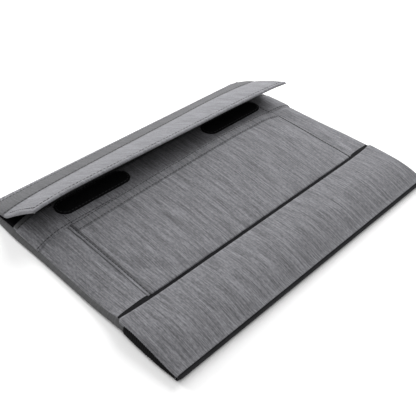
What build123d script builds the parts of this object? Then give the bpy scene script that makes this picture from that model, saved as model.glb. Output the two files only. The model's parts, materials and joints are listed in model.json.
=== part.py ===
from build123d import *

from math import asin, cos, degrees, radians, sin
import os

# A padded envelope case for a tablet. It lies on its back: the long side runs along X, the front
# edge is at -Y, the folded side with the flap is at +Y, and +Z is up. The origin is the middle of
# the back's underside. Depths are measured from the front edge, heights from the underside.
# All sizes are in millimetres.

# Overall sizes
case_width = 262.0
case_depth = 198.0

# Cloth, foam and board
cover_thickness = 0.5
lining_thickness = 0.3
back_padding_thickness = 1.2
back_board_thickness = 0.5
front_padding_thickness = 1.1
flap_board_thickness = 1.2
band_board_thickness = 0.6
body_clearance = 0.4

# Tablet compartment
compartment_height = 6.6
shoulder_width = 16.0
crown_height = 0.4
seam_rise = 0.3
ridge_side_rise = 6.2
toe_side_rise = 3.6
toe_depth = 26.0
mouth_drop = 35.0
pinch_back = 53.0
gusset_thickness = 0.8
wall_thickness = 0.8

# Lower pocket band
band_depth = 51.0
band_start = 3.0
band_hem_width = 7.0
band_hem_thickness = 0.5
end_gusset_inset = 6.0
end_gusset_lift = 0.4

# Accessory pocket
groove_width = 4.0
pocket_side_margin = 27.0
pocket_mouth_drop = 30.0
pocket_gape = 5.2
pocket_seam_gap = 0.2
pocket_slope_width = 9.0
pocket_slope_depth = 42.0
pocket_hem_width = 9.0
pocket_hem_thickness = 0.5
seam_binding_width = 3.0
seam_binding_thickness = 0.4

# Edge tapes
edge_binding_width = 2.2
edge_binding_wrap = 0.6
mouth_binding_width = 5.0
mouth_binding_thickness = 0.4

# Hook-and-loop tape
tape_length = 64.0
tape_width = 16.0
tape_side_margin = 27.0
tape_mouth_margin = 5.0
loop_thickness = 1.5
hook_thickness = 1.2
hook_clearance = 0.3

# Spine and flap
spine_length = 28.0
flap_length = 38.0
flap_taper = 4.6
flap_rest_slope = 28.0
spine_axis_height = 2.0
spine_start = 3.6
flap_fold_gap = 0.8

# Heights of the layers
half_width = case_width / 2
board_base = cover_thickness + back_padding_thickness
lining_base = board_base + back_board_thickness
compartment_floor = lining_base + lining_thickness
front_thickness = lining_thickness + front_padding_thickness + cover_thickness
band_thickness = lining_thickness + band_board_thickness + cover_thickness
flap_thickness = lining_thickness + flap_board_thickness + cover_thickness
pocket_thickness = lining_thickness + cover_thickness

# Depths of the rows across the case
front_start = edge_binding_width
mouth_depth = case_depth - mouth_drop
pinch_depth = mouth_depth - pinch_back
pocket_start = band_depth + groove_width
pocket_mouth = mouth_depth - pocket_mouth_drop
pocket_flat_start = pocket_start + pocket_slope_depth
back_end = case_depth - spine_start - body_clearance
wall_start = band_depth - end_gusset_inset

# Widths, measured from the middle
panel_x = half_width - wall_thickness
shoulder_x = panel_x - shoulder_width
pocket_x = half_width - pocket_side_margin
pocket_flat_x = pocket_x - pocket_slope_width

# The spine rests at the slope that lets the flap lie flat on the loop tape.
mouth_top = compartment_floor + compartment_height + crown_height + front_thickness
loop_top = mouth_top + cover_thickness + loop_thickness
flap_axis_closed = loop_top + hook_clearance + hook_thickness + flap_thickness / 2
spine_slope = degrees(asin((flap_axis_closed - spine_axis_height) / spine_length))
flap_axis_depth = case_depth - spine_length * cos(radians(spine_slope))

# Compartment rise at the middle and at the side seams, row by row from the front edge
rise_rows = [
    (front_start, seam_rise, seam_rise),
    (toe_depth, compartment_height, toe_side_rise),
    (band_depth, compartment_height, ridge_side_rise),
    (pinch_depth, compartment_height, seam_rise),
    (mouth_depth, compartment_height, seam_rise),
]


def rows_between(start, end, *extra_rows):
    """Depths from start to end, with each row in between where a surface bends."""
    bends = sorted({row[0] for row in rise_rows} | set(extra_rows))
    return [start] + [depth for depth in bends if start < depth < end] + [end]


def blend(start, end, share):
    """Value a share of the way from start to end."""
    return start + (end - start) * share


def rise_at(depth):
    """Compartment rise at the middle and at the sides, at one depth."""
    for (depth_a, mid_a, side_a), (depth_b, mid_b, side_b) in zip(rise_rows, rise_rows[1:]):
        if depth <= depth_b:
            share = (depth - depth_a) / (depth_b - depth_a)
            return blend(mid_a, mid_b, share), blend(side_a, side_b, share)
    return rise_rows[-1][1:]


def ceiling(x, depth):
    """Height of the compartment's ceiling: low at the side seams, crowned in the middle."""
    mid_rise, side_rise = rise_at(depth)
    crown = crown_height * mid_rise / compartment_height
    if abs(x) > shoulder_x:
        share = (panel_x - abs(x)) / shoulder_width
        return compartment_floor + blend(side_rise, mid_rise, share)
    return compartment_floor + mid_rise + crown * (1 - abs(x) / shoulder_x)


def front_top(x, depth):
    """Height of the front panel's outer face."""
    return ceiling(x, depth) + front_thickness


def pocket_gap(x, depth):
    """Gape of the accessory pocket: none at its seams and bottom, full at its mouth."""
    along = min(1.0, (depth - pocket_start) / pocket_slope_depth)
    across = min(1.0, (pocket_x - abs(x)) / pocket_slope_width)
    return blend(pocket_seam_gap, pocket_gape, along) * across


def pocket_base(x, depth):
    """Height of the accessory pocket's inner face."""
    return front_top(x, depth) + pocket_gap(x, depth)


def band_base(x, depth):
    """Height of the lower band's inner face."""
    return front_top(x, depth) + body_clearance


def row_plane(depth):
    """Upright plane across the case, with X to the right and Z up."""
    return Plane(origin=(0, depth - case_depth / 2, 0), x_dir=(1, 0, 0), z_dir=(0, -1, 0))


def mirrored(columns):
    """The same distances from the middle on both sides, from left to right."""
    return [-x for x in sorted(columns, reverse=True)] + [0.0] + sorted(columns)


def layer(depths, columns, base, low, high):
    """Loft of a layer that lies from low to high above a base surface."""
    sections = []
    for depth in depths:
        with BuildSketch(row_plane(depth)) as section:
            with BuildLine():
                lower = [(x, base(x, depth) + low) for x in columns]
                upper = [(x, base(x, depth) + high) for x in reversed(columns)]
                Polyline(*lower, *upper, close=True)
            make_face()
        sections.append(section.sketch)
    loft(sections, ruled=True)


def side_wall(rows, inner_x, thickness, side):
    """Upright wall along one side, from rows of depth, bottom and top heights."""
    with BuildSketch(Plane.YZ.offset(side * inner_x)) as outline:
        with BuildLine():
            lower = [(depth - case_depth / 2, bottom) for depth, bottom, top in rows]
            upper = [(depth - case_depth / 2, top) for depth, bottom, top in reversed(rows)]
            Polyline(*lower, *upper, close=True)
        make_face()
    extrude(outline.sketch, amount=side * thickness)


def slab(start, end, low, high, width=2 * panel_x):
    """Flat layer between two depths and two heights."""
    with BuildSketch(Plane.XY.offset(low)) as outline:
        with Locations((0, (start + end - case_depth) / 2)):
            Rectangle(width, end - start)
    extrude(outline.sketch, amount=high - low)


def save(part, label):
    part.label = label
    export_step(part, f"parts/{label}.step")


os.makedirs("parts", exist_ok=True)
front_rows = rows_between(front_start, mouth_depth)
front_columns = mirrored([shoulder_x, panel_x])

# Back panel
with BuildPart() as back_cover:
    slab(front_start, back_end, 0, cover_thickness)
save(back_cover.part, "back_cover")

with BuildPart() as back_padding:
    slab(front_start, back_end, cover_thickness, board_base)
save(back_padding.part, "back_padding")

with BuildPart() as back_board:
    slab(front_start, back_end, board_base, lining_base)
save(back_board.part, "back_board")

with BuildPart() as back_lining:
    slab(front_start, back_end, lining_base, compartment_floor)
save(back_lining.part, "back_lining")

# Front panel
padding_base = lining_thickness
cover_base = lining_thickness + front_padding_thickness

with BuildPart() as front_lining:
    layer(front_rows, front_columns, ceiling, 0, padding_base)
save(front_lining.part, "front_lining")

with BuildPart() as front_padding:
    layer(front_rows, front_columns, ceiling, padding_base, cover_base)
save(front_padding.part, "front_padding")

with BuildPart() as front_cover:
    layer(front_rows, front_columns, ceiling, cover_base, front_thickness)
save(front_cover.part, "front_cover")

# Side gussets close the compartment between the two panels, and the side walls cover their edges
gusset_rows = [(depth, compartment_floor, ceiling(panel_x, depth)) for depth in front_rows]
wall_rows = [(depth, 0, front_top(panel_x, depth)) for depth in rows_between(wall_start, mouth_depth)]
for side, place in ((-1, "left"), (1, "right")):
    with BuildPart() as side_gusset:
        side_wall(gusset_rows, panel_x, -gusset_thickness, side)
    save(side_gusset.part, f"side_gusset_{place}")

    with BuildPart() as side_binding:
        side_wall(wall_rows, panel_x, wall_thickness, side)
    save(side_binding.part, f"side_binding_{place}")

# Tape round the front edge of both panels
edge_height = front_top(0, front_start)
with BuildPart() as front_edge_binding:
    slab(-edge_binding_wrap, front_start, 0, edge_height)
    front_edges = front_edge_binding.edges().filter_by(Axis.X).group_by(Axis.Y)[0]
    fillet(front_edges, radius=edge_binding_wrap + cover_thickness)
save(front_edge_binding.part, "front_edge_binding")

# Strip below the mouth, with the tape on its edge and the two loop strips
facing_start = pocket_mouth + body_clearance
binding_start = mouth_depth - mouth_binding_width

with BuildPart() as mouth_facing:
    facing_rows = rows_between(facing_start, binding_start)
    layer(facing_rows, front_columns, front_top, 0, cover_thickness)
save(mouth_facing.part, "mouth_facing")

with BuildPart() as mouth_binding:
    layer(rows_between(binding_start, mouth_depth), front_columns, front_top, 0, mouth_binding_thickness)
save(mouth_binding.part, "mouth_binding")

tape_x = half_width - tape_side_margin - tape_length / 2
tape_depth = mouth_depth - tape_mouth_margin - tape_width / 2
loop_rows = rows_between(tape_depth - tape_width / 2, tape_depth + tape_width / 2)
loop_columns = mirrored([pocket_x])
for side, place in ((-1, "left"), (1, "right")):
    with BuildPart() as loop_strip:
        layer(loop_rows, loop_columns, front_top, cover_thickness, cover_thickness + loop_thickness)
        with BuildSketch():
            with Locations((side * tape_x, tape_depth - case_depth / 2)):
                SlotOverall(tape_length, tape_width)
        extrude(amount=loop_top, mode=Mode.INTERSECT)
    save(loop_strip.part, f"loop_strip_{place}")

# Accessory pocket
pocket_rows = rows_between(pocket_start, pocket_mouth, pocket_flat_start)
pocket_columns = mirrored([pocket_flat_x, pocket_x])
hem_rows = rows_between(pocket_mouth - pocket_hem_width, pocket_mouth, pocket_flat_start)

with BuildPart() as pocket_lining:
    layer(pocket_rows, pocket_columns, pocket_base, 0, lining_thickness)
save(pocket_lining.part, "pocket_lining")

with BuildPart() as pocket_panel:
    layer(pocket_rows, pocket_columns, pocket_base, lining_thickness, pocket_thickness)
save(pocket_panel.part, "pocket_panel")

with BuildPart() as pocket_hem:
    layer(hem_rows, pocket_columns, pocket_base, pocket_thickness, pocket_thickness + pocket_hem_thickness)
save(pocket_hem.part, "pocket_hem")

for side, place in ((-1, "left"), (1, "right")):
    seam_columns = sorted((side * pocket_x, side * (pocket_x + seam_binding_width)))
    with BuildPart() as seam_binding:
        seam_rows = rows_between(pocket_start, pocket_mouth)
        layer(seam_rows, seam_columns, front_top, 0, seam_binding_thickness)
    save(seam_binding.part, f"seam_binding_{place}")

# Lower pocket: a stiffened band hinged at the front edge, with its mouth at the groove
band_rows = rows_between(band_start, band_depth)
band_columns = mirrored([shoulder_x, half_width])
band_hem_rows = rows_between(band_depth - band_hem_width, band_depth)
band_board_base = lining_thickness
band_cover_base = lining_thickness + band_board_thickness

with BuildPart() as band_lining:
    layer(band_rows, band_columns, band_base, 0, band_board_base)
save(band_lining.part, "band_lining")

with BuildPart() as band_board:
    layer(band_rows, band_columns, band_base, band_board_base, band_cover_base)
save(band_board.part, "band_board")

with BuildPart() as band_cover:
    layer(band_rows, band_columns, band_base, band_cover_base, band_thickness)
save(band_cover.part, "band_cover")

with BuildPart() as band_hem:
    layer(band_hem_rows, band_columns, band_base, band_thickness, band_thickness + band_hem_thickness)
save(band_hem.part, "band_hem")

end_depths = rows_between(band_start, wall_start)
end_rows = [(depth, end_gusset_lift, front_top(half_width, depth)) for depth in end_depths]
for side, place in ((-1, "left"), (1, "right")):
    with BuildPart() as end_gusset:
        side_wall(end_rows, panel_x, wall_thickness, side)
    save(end_gusset.part, f"end_gusset_{place}")


def slanted_plane(depth, height, slope):
    """Plane through a fold, with X to the right, Y up the slope and Z towards the case."""
    tilt = radians(slope)
    normal = (0, -sin(tilt), -cos(tilt))
    return Plane(origin=(0, depth - case_depth / 2, height), x_dir=(1, 0, 0), z_dir=normal)


def sheet(fold_plane, low, high, start, end, taper=0.0):
    """Flat layer of the spine or flap, from start to end up its slope, narrower at its end."""
    with BuildSketch(fold_plane.offset(low)) as outline:
        with BuildLine():
            wide = half_width
            narrow = half_width - taper
            Polyline((-wide, start), (wide, start), (narrow, end), (-narrow, end), close=True)
        make_face()
    extrude(outline.sketch, amount=high - low)


# The spine joins the back to the flap, and the flap closes over the front.
outer_face = -flap_thickness / 2
board_face = outer_face + cover_thickness
lining_face = board_face + flap_board_thickness
inner_face = lining_face + lining_thickness
spine_plane = slanted_plane(case_depth, spine_axis_height, spine_slope)
flap_axis_height = spine_axis_height + spine_length * sin(radians(spine_slope))
flap_plane = slanted_plane(flap_axis_depth, flap_axis_height, flap_rest_slope)
spine_span = (spine_start, spine_length - flap_fold_gap)
flap_span = (flap_fold_gap, flap_length, flap_taper)
spine_names = ("spine_cover", "spine_padding", "spine_lining")
flap_names = ("flap_cover", "flap_board", "flap_lining")
layer_faces = (outer_face, board_face, lining_face, inner_face)
folds = ((spine_names, spine_plane, spine_span), (flap_names, flap_plane, flap_span))
for names, fold_plane, span in folds:
    for name, low, high in zip(names, layer_faces, layer_faces[1:]):
        with BuildPart() as fold_layer:
            sheet(fold_plane, low, high, *span)
        save(fold_layer.part, name)

# Hook tape under the flap, placed to land on the loop tape when the case is closed
hook_reach = flap_axis_depth - tape_depth
for side, place in ((-1, "left"), (1, "right")):
    with BuildPart() as hook_strip:
        with BuildSketch(flap_plane.offset(inner_face)):
            with Locations((side * tape_x, hook_reach)):
                SlotOverall(tape_length, tape_width)
        extrude(amount=hook_thickness)
    save(hook_strip.part, f"hook_strip_{place}")

print("spine fold", case_depth / 2, spine_axis_height, "slope", spine_slope)
print("flap fold", flap_axis_depth - case_depth / 2, flap_axis_height)
print("lower pocket hinge", band_start - case_depth / 2, band_base(0, band_start))
print("compartment", compartment_floor, ceiling(shoulder_x, mouth_depth))
print("accessory pocket", front_top(0, pocket_mouth), pocket_base(pocket_flat_x, pocket_mouth))
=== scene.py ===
import json
import math

import bmesh
import bpy
import numpy as np
from mathutils import Matrix, Vector


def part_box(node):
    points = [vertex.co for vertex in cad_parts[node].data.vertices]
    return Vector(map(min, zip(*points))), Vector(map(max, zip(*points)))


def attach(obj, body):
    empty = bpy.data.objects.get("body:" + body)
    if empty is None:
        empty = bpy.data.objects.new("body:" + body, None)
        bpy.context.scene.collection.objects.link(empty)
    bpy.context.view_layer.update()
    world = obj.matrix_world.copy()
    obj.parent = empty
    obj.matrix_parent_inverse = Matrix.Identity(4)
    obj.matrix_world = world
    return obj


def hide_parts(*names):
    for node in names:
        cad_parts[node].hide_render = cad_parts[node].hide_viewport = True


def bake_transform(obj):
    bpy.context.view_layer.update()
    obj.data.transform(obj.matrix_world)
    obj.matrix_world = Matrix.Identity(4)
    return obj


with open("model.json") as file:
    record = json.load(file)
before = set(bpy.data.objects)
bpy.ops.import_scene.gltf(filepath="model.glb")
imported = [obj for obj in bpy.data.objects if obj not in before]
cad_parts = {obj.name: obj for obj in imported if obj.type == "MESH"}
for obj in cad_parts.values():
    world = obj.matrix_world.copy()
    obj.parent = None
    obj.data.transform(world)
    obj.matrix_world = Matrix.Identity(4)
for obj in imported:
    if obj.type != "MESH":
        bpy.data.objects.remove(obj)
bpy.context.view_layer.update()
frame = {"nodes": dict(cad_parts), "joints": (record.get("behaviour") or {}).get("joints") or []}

# Cloth, foam, tape and thread of a padded tablet envelope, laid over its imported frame.
# The long side runs along X, the front edge is at -Y, the spine and flap are at +Y and +Z is up.

bl_info = {
    "name": "Tablet Envelope Cloth",
    "version": (1, 0, 0),
    "blender": (4, 5, 0),
    "location": "View3D > Sidebar > Envelope",
    "description": "Sews the cloth, tapes and stitching of a padded tablet envelope",
    "category": "Add Mesh",
}

MM = 0.001


# ---------------------------------------------------------------- places from the frame

def low(node):
    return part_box(node)[0]


def high(node):
    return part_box(node)[1]


def joint_place(name):
    """Axis point of a joint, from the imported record."""
    return Vector(next(j["pos_m"] for j in frame["joints"] if j["name"] == name))


HALF_WIDTH = high("side_binding_right").x
PANEL_X = low("side_binding_right").x
FRONT_EDGE = low("front_edge_binding").y
PANEL_START = low("front_cover").y
MOUTH = high("front_cover").y
BAND_START = low("band_cover").y
BAND_END = high("band_cover").y - 2.5 * MM
POCKET_START = low("pocket_panel").y - 3.5 * MM
POCKET_MOUTH = high("pocket_panel").y
POCKET_X = high("pocket_panel").x
POCKET_HEM = low("pocket_hem").y
FACING_START = low("mouth_facing").y
BINDING_START = low("mouth_binding").y
WALL_START = low("side_binding_right").y
FLOOR = high("back_lining").z
SPINE_AXIS = joint_place("spine_fold")
FLAP_AXIS = joint_place("flap_fold")
BAND_AXIS = joint_place("lower_pocket_open")
FOLD_Y = SPINE_AXIS.y - 2.0 * MM
SPINE_LENGTH = math.hypot(FLAP_AXIS.z - SPINE_AXIS.z, FOLD_Y - FLAP_AXIS.y)
SPINE_SLOPE = math.atan2(FLAP_AXIS.z - SPINE_AXIS.z, FOLD_Y - FLAP_AXIS.y)
FLAP_LENGTH = 38.0 * MM

# Layers of cloth, foam and board, as thick as the pieces they stand for
CLOTH = 0.5 * MM
LINING = 0.3 * MM
FRONT_PADDING = 1.1 * MM
BAND_BOARD = 0.6 * MM
FRONT_THICKNESS = LINING + FRONT_PADDING + CLOTH
BAND_CLEARANCE = 0.4 * MM
FOLD_HALF = 1.0 * MM


# ---------------------------------------------------------------- curves and faces

def ease(start, end, value):
    """0 before start, 1 after end and a smooth step between."""
    share = np.clip((value - start) / (end - start), 0.0, 1.0)
    return share * share * (3 - 2 * share)


def through(knots, value):
    """Smooth curve through the knots that never runs past them."""
    places, heights = np.array(knots, float).T
    steps = np.diff(places)
    slopes = np.diff(heights) / steps
    before, after = slopes[:-1], slopes[1:]
    turn = before * after > 0
    inner = np.zeros(len(before))
    inner[turn] = 2 * before[turn] * after[turn] / (before[turn] + after[turn])
    tangents = np.concatenate([slopes[:1], inner, slopes[-1:]])
    value = np.clip(value, places[0], places[-1])
    k = np.clip(np.searchsorted(places, value) - 1, 0, len(steps) - 1)
    t = (value - places[k]) / steps[k]
    return (
        heights[k] * (1 + 2 * t) * (1 - t) ** 2
        + tangents[k] * steps[k] * t * (1 - t) ** 2
        + heights[k + 1] * t * t * (3 - 2 * t)
        + tangents[k + 1] * steps[k] * t * t * (t - 1)
    )


def depth_knots(*rows):
    """Knots given as millimetres behind the front edge and millimetres of height."""
    return [(PANEL_START + (depth - 2.2) * MM, height * MM) for depth, height in rows]


MID_RISE = depth_knots((2.2, 0.3), (10, 2.9), (26, 5.3), (45, 5.7), (75, 6.4), (110, 6.9), (163, 6.6))
LEFT_RISE = depth_knots(
    (2.2, 0.3), (26, 3.7), (42, 5.4), (50, 5.2), (62, 3.0), (78, 1.0), (108, 0.4), (135, 0.3), (163, 0.3)
)
RIGHT_RISE = depth_knots(
    (2.2, 0.3), (10, 2.9), (20, 4.6), (32, 5.3), (48, 5.6),
    (66, 5.0), (85, 4.0), (108, 2.7), (133, 1.9), (163, 0.3)
)
WALL_BULGE = depth_knots(
    (2.2, 0.4), (45, 0.8), (58, 1.5), (80, 2.2), (110, 2.3), (135, 2.7), (158, 3.4), (178, 2.6), (195, 0.4)
)


def front_rise(x, y):
    """Height of the compartment's ceiling above its floor: drawn down to the side seams."""
    middle = through(MID_RISE, y)
    side = np.where(np.asarray(x) < 0, through(LEFT_RISE, y), through(RIGHT_RISE, y))
    share = np.clip((PANEL_X - np.abs(x)) / (26 * MM), 0.0, 1.0)
    shoulder = 1 - (1 - share) ** 2.2
    return side + (middle - side) * shoulder


def front_face(x, y):
    """Outer face of the front panel."""
    return FLOOR + front_rise(x, y) + FRONT_THICKNESS


def pocket_gap(x, y):
    """Gape of the accessory pocket: most right of the middle of its mouth."""
    across = through(
        [(-POCKET_X, 0), (-82 * MM, 0.9 * MM), (-30 * MM, 2.8 * MM), (45 * MM, 4.9 * MM),
         (86 * MM, 3.9 * MM), (POCKET_X, 0)],
        x,
    )
    return 0.1 * MM + across * ease(POCKET_START, POCKET_MOUTH - 8 * MM, y)


def pocket_face(x, y):
    """Outer face of the accessory pocket."""
    return front_face(x, y) + pocket_gap(x, y) + LINING + CLOTH


def band_share(y):
    """Share of the way from the band's hinge to its mouth."""
    return np.clip((y - BAND_START) / (BAND_END - BAND_START), 0.0, 1.0)


def band_face(x, y):
    """Outer face of the lower band, a little puffed between its hinge and its mouth."""
    share = band_share(y)
    ends = 1 - np.clip(np.abs(x) / HALF_WIDTH, 0, 1) ** 6
    puff = 0.9 * MM * np.sin(math.pi * share) * (0.35 + 0.65 * ends)
    droop = -0.6 * MM * (1 - ends) * share
    layers = BAND_CLEARANCE + LINING + BAND_BOARD + CLOTH
    return front_face(x, y) + layers + puff + droop


SPINE_SLOPES = [(-131, 15), (-118, 20), (-95, 24), (-40, 27), (20, 29), (75, 31), (108, 29), (131, 25)]
FLAP_SLOPES = [(-131, 36), (-105, 34.5), (-40, 31), (40, 27.5), (90, 25.5), (131, 25.5)]


def fold_slopes(x):
    """Slopes of the spine and the flap across the case: the soft spine is a little twisted."""
    share = bpy.context.scene.envelope_shape.twist
    spine = through([(place * MM, math.radians(slope)) for place, slope in SPINE_SLOPES], np.asarray(x))
    flap = through([(place * MM, math.radians(slope)) for place, slope in FLAP_SLOPES], np.asarray(x))
    return (
        SPINE_SLOPE + share * (spine - SPINE_SLOPE),
        math.radians(28.0) + share * (flap - math.radians(28.0)),
    )


def drawn_in(run):
    """How far the sewn corners are drawn in, at a run up the spine from its fold."""
    return 5.5 * MM * (1 - np.clip(run / (16 * MM), 0.0, 1.0)) ** 2


def hinged_face(x, run, offset):
    """Point a run up the spine and on along the flap, offset outwards from the middle layer."""
    x, run = np.broadcast_arrays(np.asarray(x, float), np.asarray(run, float))
    spine, flap = fold_slopes(x)
    step = 0.5 * MM
    stations = np.arange(0.0, SPINE_LENGTH + FLAP_LENGTH + 6 * MM, step)
    soft = 2.2 * MM
    turn = ease(SPINE_LENGTH - soft, SPINE_LENGTH + soft, stations)
    droop = math.radians(7.0) * (0.5 - np.clip((stations - SPINE_LENGTH) / FLAP_LENGTH, 0, 1))
    on_flap = stations > SPINE_LENGTH
    slope = (
        spine[..., None] * (1 - turn)
        + flap[..., None] * turn
        + np.where(on_flap, droop, 0.0) * turn
    )
    along_y = np.cumsum(-np.cos(slope) * step, axis=-1)
    along_z = np.cumsum(np.sin(slope) * step, axis=-1)
    place = np.clip(run / step, 0, len(stations) - 2)
    k = place.astype(int)
    part = place - k

    def pick(values, index):
        return np.take_along_axis(values, index[..., None], axis=-1)[..., 0]

    y = pick(along_y, k) * (1 - part) + pick(along_y, k + 1) * part
    z = pick(along_z, k) * (1 - part) + pick(along_z, k + 1) * part
    angle = pick(slope, k) * (1 - part) + pick(slope, k + 1) * part
    return np.stack(
        [
            x * (1 - drawn_in(run) / HALF_WIDTH),
            FOLD_Y + y + offset * np.sin(angle),
            SPINE_AXIS.z + z + offset * np.cos(angle),
        ],
        axis=-1,
    )


# ---------------------------------------------------------------- cloth in mesh code

def spaced(start, end, step):
    """Even places from start to end, about a step apart."""
    return np.linspace(start, end, max(2, int(round((end - start) / step)) + 1))


def lipped(start, end, step, radius=0.0, lips=(0.0, 0.0)):
    """Places from start to end with a turned edge at each end that has a lip."""
    inner_start = start + radius if lips[0] else start
    inner_end = end - radius if lips[1] else end
    places = [spaced(inner_start, inner_end, step)]
    quarter = radius * math.pi / 2
    turned = np.linspace(0, quarter, 5)[1:]
    if lips[0]:
        places.insert(0, inner_start - np.append(turned, quarter + lips[0])[::-1])
    if lips[1]:
        places.append(inner_end + np.append(turned, quarter + lips[1]))
    return np.concatenate(places)


def turn_edges(across, along, sides, ends, radius, lips):
    """Folds a flat cut's edges down over a panel: place across, place along, and drop below the face."""
    p, q = np.meshgrid(across, along, indexing="ij")
    left, right, front, back = lips

    def beyond(value, limits, low_lip, high_lip):
        inner = (limits[0] + radius if low_lip else -9.0, limits[1] - radius if high_lip else 9.0)
        return np.minimum(value - inner[0], 0) + np.maximum(value - inner[1], 0)

    du = beyond(p, sides, left, right)
    dv = beyond(q, ends, front, back)
    out = np.hypot(du, dv)
    safe = np.where(out > 0, out, 1.0)
    angle = np.minimum(out / radius, math.pi / 2)
    reach = radius * np.sin(angle)
    drop = radius * (1 - np.cos(angle)) + np.maximum(out - radius * math.pi / 2, 0)
    return p - du + du / safe * reach, q - dv + dv / safe * reach, drop


def grid_normals(points):
    """Unit normals of a grid of points."""
    i = np.gradient(points, axis=0)
    j = np.gradient(points, axis=1)
    normal = np.cross(i, j)
    return normal / np.maximum(np.linalg.norm(normal, axis=-1, keepdims=True), 1e-12)


def new_piece(name, vertices, faces, uv, materials, face_material=None, smooth=True):
    """Mesh object at the origin with its cloth coordinates, in metres, on a UV map."""
    mesh = bpy.data.meshes.new(name)
    mesh.from_pydata([tuple(v) for v in vertices], [], faces)
    layer = mesh.uv_layers.new(name="cut")
    loops = np.zeros(len(mesh.loops), np.int32)
    mesh.loops.foreach_get("vertex_index", loops)
    layer.data.foreach_set("uv", np.asarray(uv, np.float32)[loops].ravel())
    for material in materials:
        mesh.materials.append(material)
    if face_material is not None:
        mesh.polygons.foreach_set("material_index", np.asarray(face_material, np.int32))
    if smooth:
        mesh.polygons.foreach_set("use_smooth", np.ones(len(mesh.polygons), bool))
    mesh.validate()
    mesh.update()
    piece = bpy.data.objects.new(name, mesh)
    bpy.context.scene.collection.objects.link(piece)
    return piece


def shell(name, middle, thickness, cut, materials, faces_of=None):
    """Closed sheet of one thickness about a grid of points, with a rounded rim."""
    rows, columns = middle.shape[:2]
    normal = grid_normals(middle)
    half = 0.5 * np.asarray(thickness)
    top = middle + normal * half
    bottom = middle - normal * half
    count = rows * columns
    index = np.arange(count).reshape(rows, columns)
    a, b = index[:-1, :-1].ravel(), index[1:, :-1].ravel()
    c, d = index[1:, 1:].ravel(), index[:-1, 1:].ravel()
    faces = np.stack([a, b, c, d], 1).tolist()
    faces += (np.stack([d, c, b, a], 1) + count).tolist()
    ring = [(i, 0) for i in range(rows)]
    ring += [(rows - 1, j) for j in range(1, columns)]
    ring += [(i, columns - 1) for i in range(rows - 2, -1, -1)]
    ring += [(0, j) for j in range(columns - 2, 0, -1)]
    outward = []
    for i, j in ring:
        inner = middle[min(max(i, 1), rows - 2), min(max(j, 1), columns - 2)]
        out = middle[i, j] - inner
        out -= normal[i, j] * out.dot(normal[i, j])
        outward.append(middle[i, j] + out / max(np.linalg.norm(out), 1e-9) * float(np.max(half)))
    base = 2 * count
    for k, (i, j) in enumerate(ring):
        m = (k + 1) % len(ring)
        here, there = index[i, j], index[ring[m]]
        faces.append([here, base + k, base + m, there])
        faces.append([base + k, here + count, there + count, base + m])
    vertices = np.concatenate([top.reshape(-1, 3), bottom.reshape(-1, 3), np.array(outward)])
    flat = np.stack(np.broadcast_arrays(*cut), -1).reshape(-1, 2)
    rim_uv = np.array([flat[index[i, j]] for i, j in ring])
    uv = np.concatenate([flat, flat, rim_uv])
    chosen = None
    if faces_of is not None:
        centres = np.array([vertices[face].mean(0) for face in faces])
        chosen = faces_of(centres)
    return new_piece(name, vertices, faces, uv, materials, chosen)


def slab_between(name, lower, upper, cut, materials):
    """Closed solid between two grids of points, such as foam or board."""
    rows, columns = lower.shape[:2]
    count = rows * columns
    index = np.arange(count).reshape(rows, columns)
    a, b = index[:-1, :-1].ravel(), index[1:, :-1].ravel()
    c, d = index[1:, 1:].ravel(), index[:-1, 1:].ravel()
    faces = np.stack([a, b, c, d], 1).tolist()
    faces += (np.stack([d, c, b, a], 1) + count).tolist()
    ring = [index[i, 0] for i in range(rows)]
    ring += [index[rows - 1, j] for j in range(1, columns)]
    ring += [index[i, columns - 1] for i in range(rows - 2, -1, -1)]
    ring += [index[0, j] for j in range(columns - 2, 0, -1)]
    for k, here in enumerate(ring):
        there = ring[(k + 1) % len(ring)]
        faces.append([here, here + count, there + count, there])
    vertices = np.concatenate([upper.reshape(-1, 3), lower.reshape(-1, 3)])
    flat = np.stack(np.broadcast_arrays(*cut), -1).reshape(-1, 2)
    return new_piece(name, vertices, faces, np.concatenate([flat, flat]), materials, smooth=False)


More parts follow.
